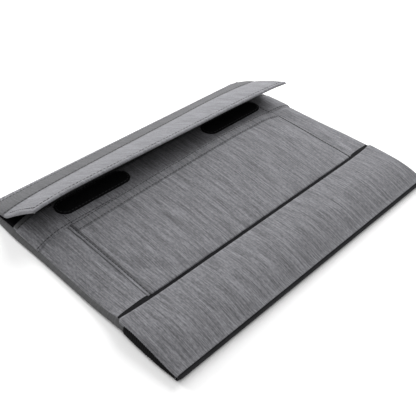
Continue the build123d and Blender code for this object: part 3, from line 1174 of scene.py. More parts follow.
class ENVELOPE_OT_back_panel(bpy.types.Operator):
    """Back panel: one cloth under the case and round the spine fold, with foam, board and lining"""

    bl_idname = "envelope.back_panel"
    bl_label = "Back panel"

    def execute(self, context):
        radius = 0.9 * MM
        edge = HALF_WIDTH - 0.3 * MM
        across = lipped(-edge, edge, 5 * MM, radius, (0.9 * MM, 0.9 * MM))
        beyond = np.maximum(np.abs(across) - (edge - radius), 0)
        angle = np.minimum(beyond / radius, math.pi / 2)
        x = np.sign(across) * (np.minimum(np.abs(across), edge - radius) + radius * np.sin(angle))
        rise = radius * (1 - np.cos(angle)) + np.maximum(beyond - radius * math.pi / 2, 0)
        rows = [("flat", y) for y in spaced(PANEL_START, FOLD_Y - 6 * MM, 5 * MM)]
        rows += [("flat", FOLD_Y - gap * MM) for gap in (4, 2.5, 1.2)]
        rows += [("round", share) for share in np.linspace(0, 1, 11)]
        rows += [("up", run) for run in (1.2 * MM, 2.3 * MM, SPINE_SEAM)]
        outer = back_path(x, rows, 0.5 * CLOTH)
        lifted = back_path(x, rows, 0.5 * CLOTH + 1.0 * MM)
        points = outer + (lifted - outer) * (rise / MM)[:, None, None]
        cut = (np.broadcast_to(across[:, None], points.shape[:2]), PANEL_START + path_lengths(points))
        cover = shell(
            "back_cover_cloth", points[:, ::-1], CLOTH, (cut[0][:, ::-1], cut[1][:, ::-1]), [grey_cloth()]
        )
        sewn(cover, "grey_cloth", None, "back_cover", bend=spine_bend())

        xs = spaced(-PANEL_X + 0.1 * MM, PANEL_X - 0.1 * MM, 6 * MM)
        flat_rows = spaced(PANEL_START, FOLD_Y - 6.5 * MM, 6 * MM)
        x, y = np.meshgrid(xs, flat_rows, indexing="ij")
        lining_top = np.stack([x, y, np.full_like(x, FLOOR - 0.5 * LINING)], -1)
        slope, _ = fold_slopes(xs)
        path = []
        for back, height in ((5.2, 2.36), (3.2, 2.38), (1.9, 2.34), (1.3, 1.95), (0.7, 1.45), (0.2, 1.15)):
            path.append(
                np.stack([xs, np.full_like(xs, FOLD_Y - back * MM), np.full_like(xs, height * MM)], -1)
            )
        for share in (0.15, 0.35, 0.55, 0.75, 0.95):
            angle = -math.pi / 2 + share * (math.pi - slope)
            reach = (0.95 + (0.35 - 0.95) * share) * MM
            narrowed = xs * (1 - drawn_in(0.0) * ease(0.0, 0.6, share) / HALF_WIDTH)
            path.append(
                np.stack([narrowed, FOLD_Y + reach * np.cos(angle), SPINE_AXIS.z + reach * np.sin(angle)], -1)
            )
        for run, offset in ((1.0, 0.2), (2.0, -0.1), (3.0, -0.45), (4.2, -0.75)):
            path.append(hinged_face(xs, run * MM, offset * MM))
        points = np.concatenate([lining_top, np.stack(path, axis=1)], axis=1)
        cut = (np.broadcast_to(xs[:, None], points.shape[:2]), PANEL_START + path_lengths(points))
        lining = shell("back_lining_cloth", points, LINING, cut, [black_lining()])
        sewn(lining, "black_lining", None, "back_lining", bend=spine_bend())

        base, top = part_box("back_padding")
        x, y = np.meshgrid(
            spaced(base.x + MM, top.x - MM, 12 * MM), spaced(base.y, top.y, 12 * MM), indexing="ij"
        )
        foam = slab_between(
            "back_padding_foam",
            np.stack([x, y, np.full_like(x, base.z + 0.02 * MM)], -1),
            np.stack([x, y, np.full_like(x, top.z - 0.02 * MM)], -1),
            (x, y),
            [padding_foam()],
        )
        sewn(foam, "padding_foam", "case", "back_padding")
        frame["nodes"]["back_board"].data.materials.clear()
        frame["nodes"]["back_board"].data.materials.append(stiff_board())
        return {"FINISHED"}


# ---------------------------------------------------------------- walls and edge tapes

class ENVELOPE_OT_side_walls(bpy.types.Operator):
    """Side walls: plain binding over the panels' edges, with the lining's gussets inside"""

    bl_idname = "envelope.side_walls"
    bl_label = "Side walls"

    def execute(self, context):
        for side, place in ((-1, "left"), (1, "right")):
            ys = spaced(WALL_START, FOLD_Y - 0.5 * MM, 2.5 * MM)
            shares = np.linspace(0, 1, 9)
            y, share = np.meshgrid(ys, shares, indexing="ij")
            edge = np.full_like(y, side * PANEL_X)
            low_top = FLOOR + 0.1 * MM
            behind = [(33, 1), (26, 0.78), (17, 0.34), (9, 0.07), (0, 0)]
            stands = through([(FOLD_Y - gap * MM, part) for gap, part in behind], y)
            top = (front_face(edge, np.minimum(y, MOUTH)) - 0.7 * MM) * stands + low_top * (1 - stands)
            amount = through(WALL_BULGE, y) * (1.0 if side < 0 else 0.35)
            bulge = amount * np.sin(math.pi * share**0.8) ** 0.8
            x = side * (PANEL_X + 0.35 * MM + bulge)
            z = 0.35 * MM + (top - 0.35 * MM) * share
            points = np.stack([x, y, z], -1)
            cut = (y, z)
            if side < 0:
                points = points[:, ::-1]
                cut = (y[:, ::-1], z[:, ::-1])
            # The wall takes the darkened binding cloth: painted shade on a wall that faces away from the
            # lamps.
            wall = shell(f"side_wall_{place}", points, CLOTH, cut, [grey_binding()])
            sewn(wall, "grey_binding", "case", f"side_binding_{place}")

            ys = spaced(PANEL_START, MOUTH - 0.3 * MM, 4 * MM)
            y, share = np.meshgrid(ys, np.linspace(0, 1, 9), indexing="ij")
            edge = np.full_like(y, side * PANEL_X)
            height = np.maximum(front_rise(edge, y), 1.5 * MM)
            x = side * (PANEL_X - 0.35 * MM - 1.7 * MM * np.sin(math.pi * share))
            points = np.stack([x, y, FLOOR + height * share], -1)
            along = path_lengths(points)
            cut = (y, along)
            if side < 0:
                points = points[:, ::-1]
                cut = (y[:, ::-1], along[:, ::-1])
            gusset = shell(f"side_gusset_cloth_{place}", points, LINING, cut, [black_lining()])
            sewn(gusset, "black_lining", "case", f"side_gusset_{place}")
        return {"FINISHED"}


def swept(profile, xs):
    """Grid that carries a profile of depth and height along the case."""
    profile = np.asarray(profile, float)
    x, k = np.meshgrid(xs, np.arange(len(profile)), indexing="ij")
    return np.stack([x, profile[k, 0], profile[k, 1]], -1)


class ENVELOPE_OT_edge_tapes(bpy.types.Operator):
    """Edge tapes: dark tape round the front edge and grey tape round the mouth"""

    bl_idname = "envelope.edge_tapes"
    bl_label = "Edge tapes"

    def execute(self, context):
        thickness = 0.55 * MM
        front = FRONT_EDGE + 0.5 * thickness
        start = PANEL_START
        hem = 0.35 * MM
        profile = [
            (start + 1.6 * MM, hem), (start - 0.2 * MM, hem), (start - 1.3 * MM, hem + 0.05 * MM),
            (front + 0.75 * MM, 0.55 * MM), (front + 0.25 * MM, 0.95 * MM), (front + 0.02 * MM, 1.6 * MM),
            (front - 0.05 * MM, 2.4 * MM), (front, 3.3 * MM), (front + 0.15 * MM, 4.1 * MM),
            (front + 0.55 * MM, 4.75 * MM), (front + 1.2 * MM, 5.2 * MM),
        ]
        xs = lipped(-HALF_WIDTH + 0.25 * MM, HALF_WIDTH - 0.25 * MM, 3 * MM)
        points = swept(profile, xs)
        corner = np.clip((np.abs(points[..., 0]) - (HALF_WIDTH - 3 * MM)) / (3 * MM), 0, 1)
        points[..., 1] += 1.1 * MM * corner**2.5
        points[..., 2] -= 0.35 * MM * corner**2 * ease(2.5 * MM, 6 * MM, points[..., 2])
        cut = (points[..., 0], path_lengths(points))
        tape = shell(
            "front_edge_tape", points[:, ::-1], thickness, (cut[0][:, ::-1], cut[1][:, ::-1]), [dark_tape()]
        )
        sewn(tape, "dark_tape", "case", "front_edge_binding")

        thickness = 0.4 * MM
        xs = spaced(-PANEL_X + 0.4 * MM, PANEL_X - 0.4 * MM, 4 * MM)
        edge = np.full_like(xs, MOUTH)
        outer = front_face(xs, edge) + 0.5 * thickness
        inner = FLOOR + front_rise(xs, edge) - 0.5 * thickness
        middle = 0.5 * (outer + inner)
        half = 0.5 * (outer - inner)
        rows = []
        for back in (5.0, 3.6, 2.4, 1.2):
            y = edge - back * MM
            rows.append(np.stack([xs, y, front_face(xs, y) + 0.5 * thickness], -1))
        for turn in np.linspace(math.pi / 2, -math.pi / 2, 9):
            rows.append(
                np.stack([xs, edge - 0.4 * MM + 0.8 * half * np.cos(turn), middle + half * np.sin(turn)], -1)
            )
        for back in (1.4, 2.8, 4.2):
            y = edge - back * MM
            rows.append(np.stack([xs, y, FLOOR + front_rise(xs, y) - 0.5 * thickness], -1))
        points = np.stack(rows, axis=1)
        cut = (np.broadcast_to(xs[:, None], points.shape[:2]), path_lengths(points))
        # The mouth tape takes the same darkened binding cloth: painted shade under the flap.
        binding = shell("mouth_tape", points, thickness, cut, [grey_binding()])
        sewn(binding, "grey_binding", "case", "mouth_binding")
        return {"FINISHED"}


# ---------------------------------------------------------------- the accessory pocket

def pocket_grid(cell):
    """Turned cut of the pocket's cloth."""
    radius = 0.7 * MM
    lips = (0.25 * MM, 0.25 * MM, 0.35 * MM, 0.0)
    sides = (-POCKET_X, POCKET_X)
    ends = (POCKET_START, POCKET_MOUTH)
    across = lipped(*sides, cell, radius, lips[:2])
    along = lipped(*ends, cell, radius, lips[2:])
    u, v, drop = turn_edges(across, along, sides, ends, radius, lips)
    z = pocket_face(u, v) - 0.5 * CLOTH - drop
    p, q = np.meshgrid(across, along, indexing="ij")
    held = (drop > 0) | (q < POCKET_START + 3 * MM) | (q > POCKET_HEM - 0.5 * MM)
    return np.stack([u, v, z], -1), (p, q), held


class ENVELOPE_OT_accessory_pocket(bpy.types.Operator):
    """Accessory pocket: cloth and lining sewn at three sides, with a hemmed mouth that gapes"""

    bl_idname = "envelope.accessory_pocket"
    bl_label = "Accessory pocket"

    def execute(self, context):
        points, cut, held = pocket_grid(shape().cell)
        points = settle(points, held, 4.0, 0.014, shape().puff)
        panel = shell("pocket_cloth", points, CLOTH, cut, [grey_cloth()])
        smoother(panel)
        sewn(panel, "grey_cloth", "case", "pocket_panel")

        xs = spaced(-POCKET_X + 1.2 * MM, POCKET_X - 1.2 * MM, 4 * MM)
        ys = spaced(POCKET_START + 1.0 * MM, POCKET_MOUTH - 0.3 * MM, 4 * MM)
        x, y = np.meshgrid(xs, ys, indexing="ij")
        z = front_face(x, y) + pocket_gap(x, y) * 0.96 + 0.5 * LINING - 0.1 * MM
        lining = shell("pocket_lining_cloth", np.stack([x, y, z], -1), LINING, (x, y), [black_lining()])
        sewn(lining, "black_lining", "case", "pocket_lining")

        thickness = 0.45 * MM
        xs = spaced(-POCKET_X + 0.3 * MM, POCKET_X - 0.3 * MM, 3 * MM)
        rows = []
        for along in spaced(POCKET_HEM, POCKET_MOUTH - 0.6 * MM, 1.4 * MM):
            y = np.full_like(xs, along)
            lift = 0.55 * thickness + 0.12 * MM * np.sin(math.pi * (along - POCKET_HEM) / (9 * MM))
            rows.append(np.stack([xs, y, pocket_face(xs, y) + lift], -1))
        end = np.full_like(xs, POCKET_MOUTH)
        top = pocket_face(xs, end) + 0.55 * thickness
        base = front_face(xs, end) + pocket_gap(xs, end) - 0.2 * MM
        for turn in np.linspace(math.pi / 2, -math.pi / 2, 7)[1:]:
            z = 0.5 * (top + base) + 0.5 * (top - base) * np.sin(turn)
            rows.append(np.stack([xs, end - 0.6 * MM + 0.6 * MM * np.cos(turn), z], -1))
        points = np.stack(rows, axis=1)
        cut = (np.broadcast_to(xs[:, None], points.shape[:2]), POCKET_HEM + path_lengths(points))
        # The hem strip takes the darkened hem cloth: painted shade on the hem.
        hem = shell("pocket_hem_cloth", points, thickness, cut, [hem_shade_cloth()])
        sewn(hem, "grey_cloth", "case", "pocket_hem")

        for side, place in ((-1, "left"), (1, "right")):
            inner = POCKET_X + 0.2 * MM
            outer = high("seam_binding_right").x
            ys = spaced(POCKET_START + 0.3 * MM, POCKET_MOUTH - 0.3 * MM, 2 * MM)
            offsets = np.linspace(inner, outer, 7)
            x, y = np.meshgrid(side * offsets, ys, indexing="ij")
            share = (np.abs(x) - inner) / (outer - inner)
            z = front_face(x, y) + 0.1 * MM + 0.22 * MM * np.sin(math.pi * share)
            points = np.stack([x, y, z], -1)
            cut = (x, y)
            if side < 0:
                points, cut = points[::-1], (x[::-1], y[::-1])

            # Faces next to the pocket's edge take the darkened seam cloth: painted shade in the crease where
            # the pocket is stitched down.
            def seam_shade_faces(centres):
                return (np.abs(centres[:, 0]) < POCKET_X + 1.4 * MM).astype(int)

            finishes = [grey_cloth(), seam_shade_cloth()]
            tape = shell(f"pocket_seam_tape_{place}", points, 0.3 * MM, cut, finishes, seam_shade_faces)
            sewn(tape, "grey_cloth", "case", f"seam_binding_{place}")
        return {"FINISHED"}


class ENVELOPE_OT_mouth_facing(bpy.types.Operator):
    """Mouth facing: the strip of cloth under the loop tape, between the pocket and the mouth"""

    bl_idname = "envelope.mouth_facing"
    bl_label = "Mouth facing"

    def execute(self, context):
        radius = 0.5 * MM
        lips = (0.5 * MM, 0.5 * MM, 0.1 * MM, 0.0)
        sides = (-HALF_WIDTH - 0.1 * MM, HALF_WIDTH + 0.1 * MM)
        ends = (FACING_START, BINDING_START + 0.4 * MM)
        across = lipped(*sides, 3 * MM, radius, lips[:2])
        along = lipped(*ends, 2.2 * MM, radius, lips[2:])
        u, v, drop = turn_edges(across, along, sides, ends, radius, lips)
        z = front_face(u, v) + 0.5 * CLOTH + 0.15 * MM - drop * 0.7
        p, q = np.meshgrid(across, along, indexing="ij")
        ripple = 0.12 * MM * np.sin(p / (7.3 * MM)) * np.sin(p / (3.1 * MM) + 1.0)
        z += ripple * np.sin(math.pi * np.clip((q - ends[0]) / (ends[1] - ends[0]), 0, 1))
        outside = ease(POCKET_X - 1 * MM, POCKET_X + 2 * MM, np.abs(p))
        z -= 0.55 * MM * outside * (1 - ease(ends[0], ends[0] + 3.5 * MM, q))
        facing = shell("mouth_facing_cloth", np.stack([u, v, z], -1), CLOTH, (p, q), [grey_cloth()])
        sewn(facing, "grey_cloth", "case", "mouth_facing")
        return {"FINISHED"}


# ---------------------------------------------------------------- the lower pocket

def band_edge(x):
    """Depth of the band's mouth: it closes up to the pocket at its sewn ends."""
    return BAND_END + 2.4 * MM * np.clip(np.abs(x) / HALF_WIDTH, 0, 1) ** 9


class ENVELOPE_OT_lower_pocket(bpy.types.Operator):
    """Lower pocket: the stiffened band with its lining and hem"""

    bl_idname = "envelope.lower_pocket"
    bl_label = "Lower pocket"

    def execute(self, context):
        radius = 1.5 * MM
        lips = (2.4 * MM, 2.4 * MM, 0.0, 0.6 * MM)
        sides = (-HALF_WIDTH - 0.35 * MM, HALF_WIDTH + 0.35 * MM)
        ends = (FRONT_EDGE + 0.9 * MM, BAND_END)
        across = lipped(*sides, shape().cell, radius, lips[:2])
        along = lipped(*ends, shape().cell, radius, lips[2:])
        u, v, drop = turn_edges(across, along, sides, ends, radius, lips)
        p, q = np.meshgrid(across, along, indexing="ij")
        face = band_face(np.clip(u, -PANEL_X, PANEL_X), v)
        room = np.clip((face - 2.2 * MM) / (9 * MM), 0.18, 1.0)
        z = face - 0.5 * CLOTH - drop * np.where(np.abs(p) > sides[1] - radius, room, 1.0)
        y = v + (band_edge(u) - BAND_END) * band_share(v) ** 2
        held = (drop > 0) | (q < BAND_START + 4 * MM) | (q > BAND_END - 1.0 * MM)
        points = settle(np.stack([u, y, z], -1), held, 5.0, 0.010, shape().puff)
        cover = shell("band_cloth", points, CLOTH, (p, q), [grey_cloth()])
        smoother(cover)
        sewn(cover, "grey_cloth", "lower_pocket", "band_cover")

        xs = spaced(-PANEL_X + 2.5 * MM, PANEL_X - 2.5 * MM, 3 * MM)
        ys = spaced(BAND_START + 0.6 * MM, BAND_END - 1.6 * MM, 3 * MM)
        x, y = np.meshgrid(xs, ys, indexing="ij")
        layers = BAND_CLEARANCE + LINING + BAND_BOARD + CLOTH
        base = np.minimum(front_face(x, y) + 0.1 * MM, band_face(x, y) - layers - 0.2 * MM)
        lining = shell(
            "band_lining_cloth",
            np.stack([x, y, base + 0.5 * LINING], -1),
            LINING,
            (x, y),
            [black_lining()],
        )
        sewn(lining, "black_lining", "lower_pocket", "band_lining")
        board = slab_between(
            "band_stiffener",
            np.stack([x, y, base + LINING + 0.02 * MM], -1),
            np.stack([x, y, base + LINING + BAND_BOARD - 0.1 * MM], -1),
            (x, y),
            [stiff_board()],
        )
        sewn(board, "stiffener_board", "lower_pocket", "band_board")

        thickness = 0.4 * MM
        xs = spaced(-HALF_WIDTH + 1.5 * MM, HALF_WIDTH - 1.5 * MM, 3 * MM)
        edge = band_edge(xs)
        rows = []
        for back in (6.4, 5.0, 3.8, 2.6, 1.6):
            y = edge - back * MM
            rows.append(np.stack([xs, y, band_face(xs, y - (edge - BAND_END)) - 0.45 * MM], -1))
        end = np.full_like(xs, BAND_END)
        top = band_face(xs, end) - 0.75 * MM
        base = front_face(xs, end) + BAND_CLEARANCE + 0.25 * MM
        for turn in np.linspace(math.pi / 2, -math.pi / 2, 7)[1:]:
            z = 0.5 * (top + base) + 0.5 * (top - base) * np.sin(turn)
            rows.append(np.stack([xs, edge - 1.4 * MM + 0.5 * MM * np.cos(turn), z], -1))
        points = np.stack(rows, axis=1)
        cut = (np.broadcast_to(xs[:, None], points.shape[:2]), BAND_END + path_lengths(points))
        # The band's hem takes the near-black edge tape finish: painted shade for the groove between the
        # accessory pocket and the band.
        hem = shell("band_hem_tape", points, thickness, cut, [dark_tape()])
        sewn(hem, "dark_tape", "lower_pocket", "band_hem")
        return {"FINISHED"}


class ENVELOPE_OT_end_gussets(bpy.types.Operator):
    """End gussets: black elastic that closes the lower pocket's ends"""

    bl_idname = "envelope.end_gussets"
    bl_label = "End gussets"

    def execute(self, context):
        elastic = made_once("ribbed_black_elastic", ribbed_elastic, tuple(colours().pile))
        for side, place in ((-1, "left"), (1, "right")):
            ys = spaced(BAND_START - 0.6 * MM, WALL_START + 0.8 * MM, 0.8 * MM)
            shares = np.linspace(0, 1, 9)
            y, share = np.meshgrid(ys, shares, indexing="ij")
            top = front_face(np.full_like(y, side * PANEL_X), y) + 0.6 * MM
            z = 0.45 * MM + (top - 0.45 * MM) * share
            run = np.clip((y - y.min()) / (y.max() - y.min()), 0, 1)
            bow_along = np.sin(math.pi * np.clip(run * 0.8, 0, 1)) ** 0.6
            bow = 1.9 * MM * bow_along * np.sin(math.pi * share**0.6) ** 0.7
            ribs = 0.12 * MM * np.sin(2 * math.pi * y / (1.6 * MM))
            x = side * (PANEL_X + 0.45 * MM + bow + ribs)
            points = np.stack([x, y, z], -1)
            cut = (y, z)
            if side < 0:
                points = points[:, ::-1]
                cut = (y[:, ::-1], z[:, ::-1])
            gusset = shell(f"end_gusset_web_{place}", points, 0.4 * MM, cut, [elastic])
            bend = ("case", "lower_pocket", (0, BAND_AXIS.y, 1.2 * MM), (0, BAND_AXIS.y, 8.5 * MM))
            sewn(gusset, "black_elastic", None, f"end_gusset_{place}", bend=bend)
        return {"FINISHED"}


# ---------------------------------------------------------------- the spine and the flap

class ENVELOPE_OT_spine(bpy.types.Operator):
    """Spine: the plainer band between the two folds, with its padding and lining"""

    bl_idname = "envelope.spine"
    bl_label = "Spine"

    def execute(self, context):
        radius = 0.9 * MM
        edge = HALF_WIDTH - 0.3 * MM
        across = lipped(-edge, edge, 5 * MM, radius, (0.5 * MM, 0.5 * MM))
        along = spaced(SPINE_SEAM + 0.15 * MM, SPINE_LENGTH - FLAP_SEAM - 0.15 * MM, 2.4 * MM)
        u, v, drop = turn_edges(across, along, (-edge, edge), (0, 1), radius, (1, 1, 0, 0))
        p, q = np.meshgrid(across, along, indexing="ij")
        share = (q - along[0]) / (along[-1] - along[0])
        bow = 0.35 * MM * np.sin(math.pi * share) ** 0.6
        points = hinged_face(u, v, FOLD_HALF - 0.5 * CLOTH - drop + bow)
        cover = shell("spine_cloth", points[:, ::-1], CLOTH, (p[:, ::-1], q[:, ::-1]), [spine_cloth()])
        sewn(cover, "grey_cloth", "spine", "spine_cover")
        xs = spaced(-HALF_WIDTH + 1.2 * MM, HALF_WIDTH - 1.2 * MM, 5 * MM)
        ys = spaced(SPINE_SEAM + 0.4 * MM, SPINE_LENGTH - FLAP_SEAM + 0.2 * MM, 2.5 * MM)
        x, y = np.meshgrid(xs, ys, indexing="ij")
        lining_middle = -FOLD_HALF + 0.5 * LINING
        points = hinged_face(x, y, lining_middle)
        lining = shell(
            "spine_lining_cloth", points[:, ::-1], LINING, (x[:, ::-1], y[:, ::-1]), [black_lining()]
        )
        sewn(lining, "black_lining", "spine", "spine_lining")
        foam = slab_between(
            "spine_padding_foam",
            hinged_face(x, y, -FOLD_HALF + LINING + 0.05 * MM)[:, ::-1],
            hinged_face(x, y, FOLD_HALF - CLOTH - 0.05 * MM)[:, ::-1],
            (x[:, ::-1], y[:, ::-1]),
            [padding_foam()],
        )
        sewn(foam, "padding_foam", "spine", "spine_padding")
        return {"FINISHED"}


def flap_width(run):
    """Half the flap's width: it narrows towards its free edge."""
    share = np.clip((run - SPINE_LENGTH) / FLAP_LENGTH, 0, 1)
    return HALF_WIDTH - 0.3 * MM - 4.6 * MM * share


class ENVELOPE_OT_flap(bpy.types.Operator):
    """Flap: heather cloth turned over a board, with the lining inside"""

    bl_idname = "envelope.flap"
    bl_label = "Flap"

    def execute(self, context):
        radius = 0.9 * MM
        edge = HALF_WIDTH - 0.3 * MM
        start, end = SPINE_LENGTH - FLAP_SEAM, SPINE_LENGTH + FLAP_LENGTH
        across = lipped(-edge, edge, shape().cell, radius, (0.6 * MM, 0.6 * MM))
        along = lipped(start, end, 2.6 * MM, radius, (0.0, 0.6 * MM))
        u, v, drop = turn_edges(across, along, (-edge, edge), (start, end), radius, (1, 1, 0, 1))
        p, q = np.meshgrid(across, along, indexing="ij")
        narrowed = u * flap_width(v) / edge
        points = hinged_face(narrowed, v, FOLD_HALF - 0.5 * CLOTH - drop)
        held = (drop > 0) | (q < SPINE_LENGTH + 3 * MM)
        points = settle(points[:, ::-1], held[:, ::-1], 3.0, 0.006, 0.5 * shape().puff)
        # The flap's cloth takes the lightened heather: painted light on the flap.
        cover = shell("flap_cloth", points, CLOTH, (p[:, ::-1], q[:, ::-1]), [flap_cloth()])
        smoother(cover)
        sewn(cover, "grey_cloth", None, "flap_cover", bend=flap_bend())
        xs = spaced(-edge + 1.0 * MM, edge - 1.0 * MM, 5 * MM)
        ys = spaced(start + 0.2 * MM, end - 1.0 * MM, 2.5 * MM)
        x, y = np.meshgrid(xs, ys, indexing="ij")
        narrowed = x * flap_width(y) / edge
        points = hinged_face(narrowed, y, -FOLD_HALF + 0.5 * LINING)
        lining = shell(
            "flap_lining_cloth", points[:, ::-1], LINING, (x[:, ::-1], y[:, ::-1]), [black_lining()]
        )
        sewn(lining, "black_lining", None, "flap_lining", bend=flap_bend())
        ys = spaced(SPINE_LENGTH + 1.6 * MM, end - 1.4 * MM, 3 * MM)
        x, y = np.meshgrid(xs, ys, indexing="ij")
        narrowed = x * flap_width(y) / edge
        board = slab_between(
            "flap_stiffener",
            hinged_face(narrowed, y, -FOLD_HALF + LINING + 0.05 * MM)[:, ::-1],
            hinged_face(narrowed, y, FOLD_HALF - CLOTH - 0.05 * MM)[:, ::-1],
            (x[:, ::-1], y[:, ::-1]),
            [stiff_board()],
        )
        sewn(board, "stiffener_board", "flap", "flap_board")
        return {"FINISHED"}


# ---------------------------------------------------------------- hook and loop tape

TAPE_LENGTH = 64 * MM
TAPE_WIDTH = 16 * MM


def tape_strip(name, place, centre_x, centre_along, thickness, materials):
    """Closed round-ended tape that follows a face. place gives a point from across, along and height."""
    half, radius = 0.5 * (TAPE_LENGTH - TAPE_WIDTH), 0.5 * TAPE_WIDTH
    cells = 40
    across = np.linspace(-half - radius, half + radius, cells * 2 + 1)
    beyond = np.maximum(np.abs(across) - half, 0)
    reach = np.sqrt(np.maximum(radius**2 - beyond**2, 0))
    reach = np.maximum(reach, 0.35 * MM)
    share = np.linspace(-1, 1, 13)
    a, s = np.meshgrid(across, share, indexing="ij")
    b = s * reach[:, None]
    rim = np.clip((radius - np.hypot(np.maximum(np.abs(a) - half, 0), b)) / (0.6 * MM), 0, 1)
    soft = np.sqrt(1 - (1 - rim) ** 2)
    lower = place(centre_x + a, centre_along + b, 0 * b)
    upper = place(centre_x + a, centre_along + b, thickness * (0.45 + 0.55 * soft))
    return slab_between(name, lower, upper, (centre_x + a, centre_along + b), materials)


class ENVELOPE_OT_closure_tape(bpy.types.Operator):
    """Hook and loop tape: loop strips on the facing and hook strips under the flap"""

    bl_idname = "envelope.closure_tape"
    bl_label = "Closure tape"

    def execute(self, context):
        pile = made_once("closure_pile", brushed_pile, tuple(colours().pile))
        tree = pile_tree()
        loop_low, loop_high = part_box("loop_strip_right")
        depth = 0.5 * (loop_low.y + loop_high.y)
        across = 0.5 * (loop_low.x + loop_high.x)
        reach = SPINE_LENGTH + 23.7 * MM

        def on_front(x, y, height):
            return np.stack([x, y, front_face(x, y) + CLOTH + 0.12 * MM + height], -1)

        def under_flap(x, run, height):
            return hinged_face(x, run, -FOLD_HALF - 0.02 * MM - height)

        for side, place in ((-1, "left"), (1, "right")):
            made = (
                ("loop", "case", on_front, depth, 0.75 * MM, 0.75 * MM, 0.10 * MM),
                ("hook", "flap", under_flap, reach, 0.6 * MM, 0.6 * MM, 0.13 * MM),
            )
            for kind, body, where, along, thickness, height, width in made:
                strip = tape_strip(f"{kind}_tape_{place}", where, side * across, along, thickness, [pile])
                strip.data.polygons.foreach_set("use_smooth", np.ones(len(strip.data.polygons), bool))
                base = strip.copy()
                base.data = strip.data.copy()
                trim_to_top(base)
                bpy.context.scene.collection.objects.link(base)
                values = {
                    "Spacing": 0.85 * MM,
                    "Density": 1.6e6,
                    "Height": height,
                    "Hair width": width,
                    "Seed": 7,
                    "Finish": pile,
                }
                hairs = grown(f"{kind}_pile_{place}", base, tree, values)
                sewn(strip, f"{kind}_tape", body, f"{kind}_strip_{place}")
                sewn(hairs, f"{kind}_tape", body)
        return {"FINISHED"}


def trim_to_top(base):
    """Keeps only the tape's raised face, where the hairs stand."""
    cells = bmesh.new()
    cells.from_mesh(base.data)
    count = len(cells.verts) // 2
    cells.verts.ensure_lookup_table()
    upper = set(cells.verts[:count])
    gone = [face for face in cells.faces if not all(vertex in upper for vertex in face.verts)]
    bmesh.ops.delete(cells, geom=gone, context="FACES")
    cells.to_mesh(base.data)
    cells.free()


# ---------------------------------------------------------------- stitching

def slot_line(centre_x, centre_along, length, width, steps=12):
    """Closed line just inside a round-ended tape's edge."""
    half, radius = 0.5 * (length - width), 0.5 * width
    right = np.linspace(-math.pi / 2, math.pi / 2, steps)
    left = right + math.pi
    x = np.concatenate([half + radius * np.cos(right), -half + radius * np.cos(left), [half]])
    along = np.concatenate([radius * np.sin(right), radius * np.sin(left), [-radius]])
    return centre_x + x, centre_along + along


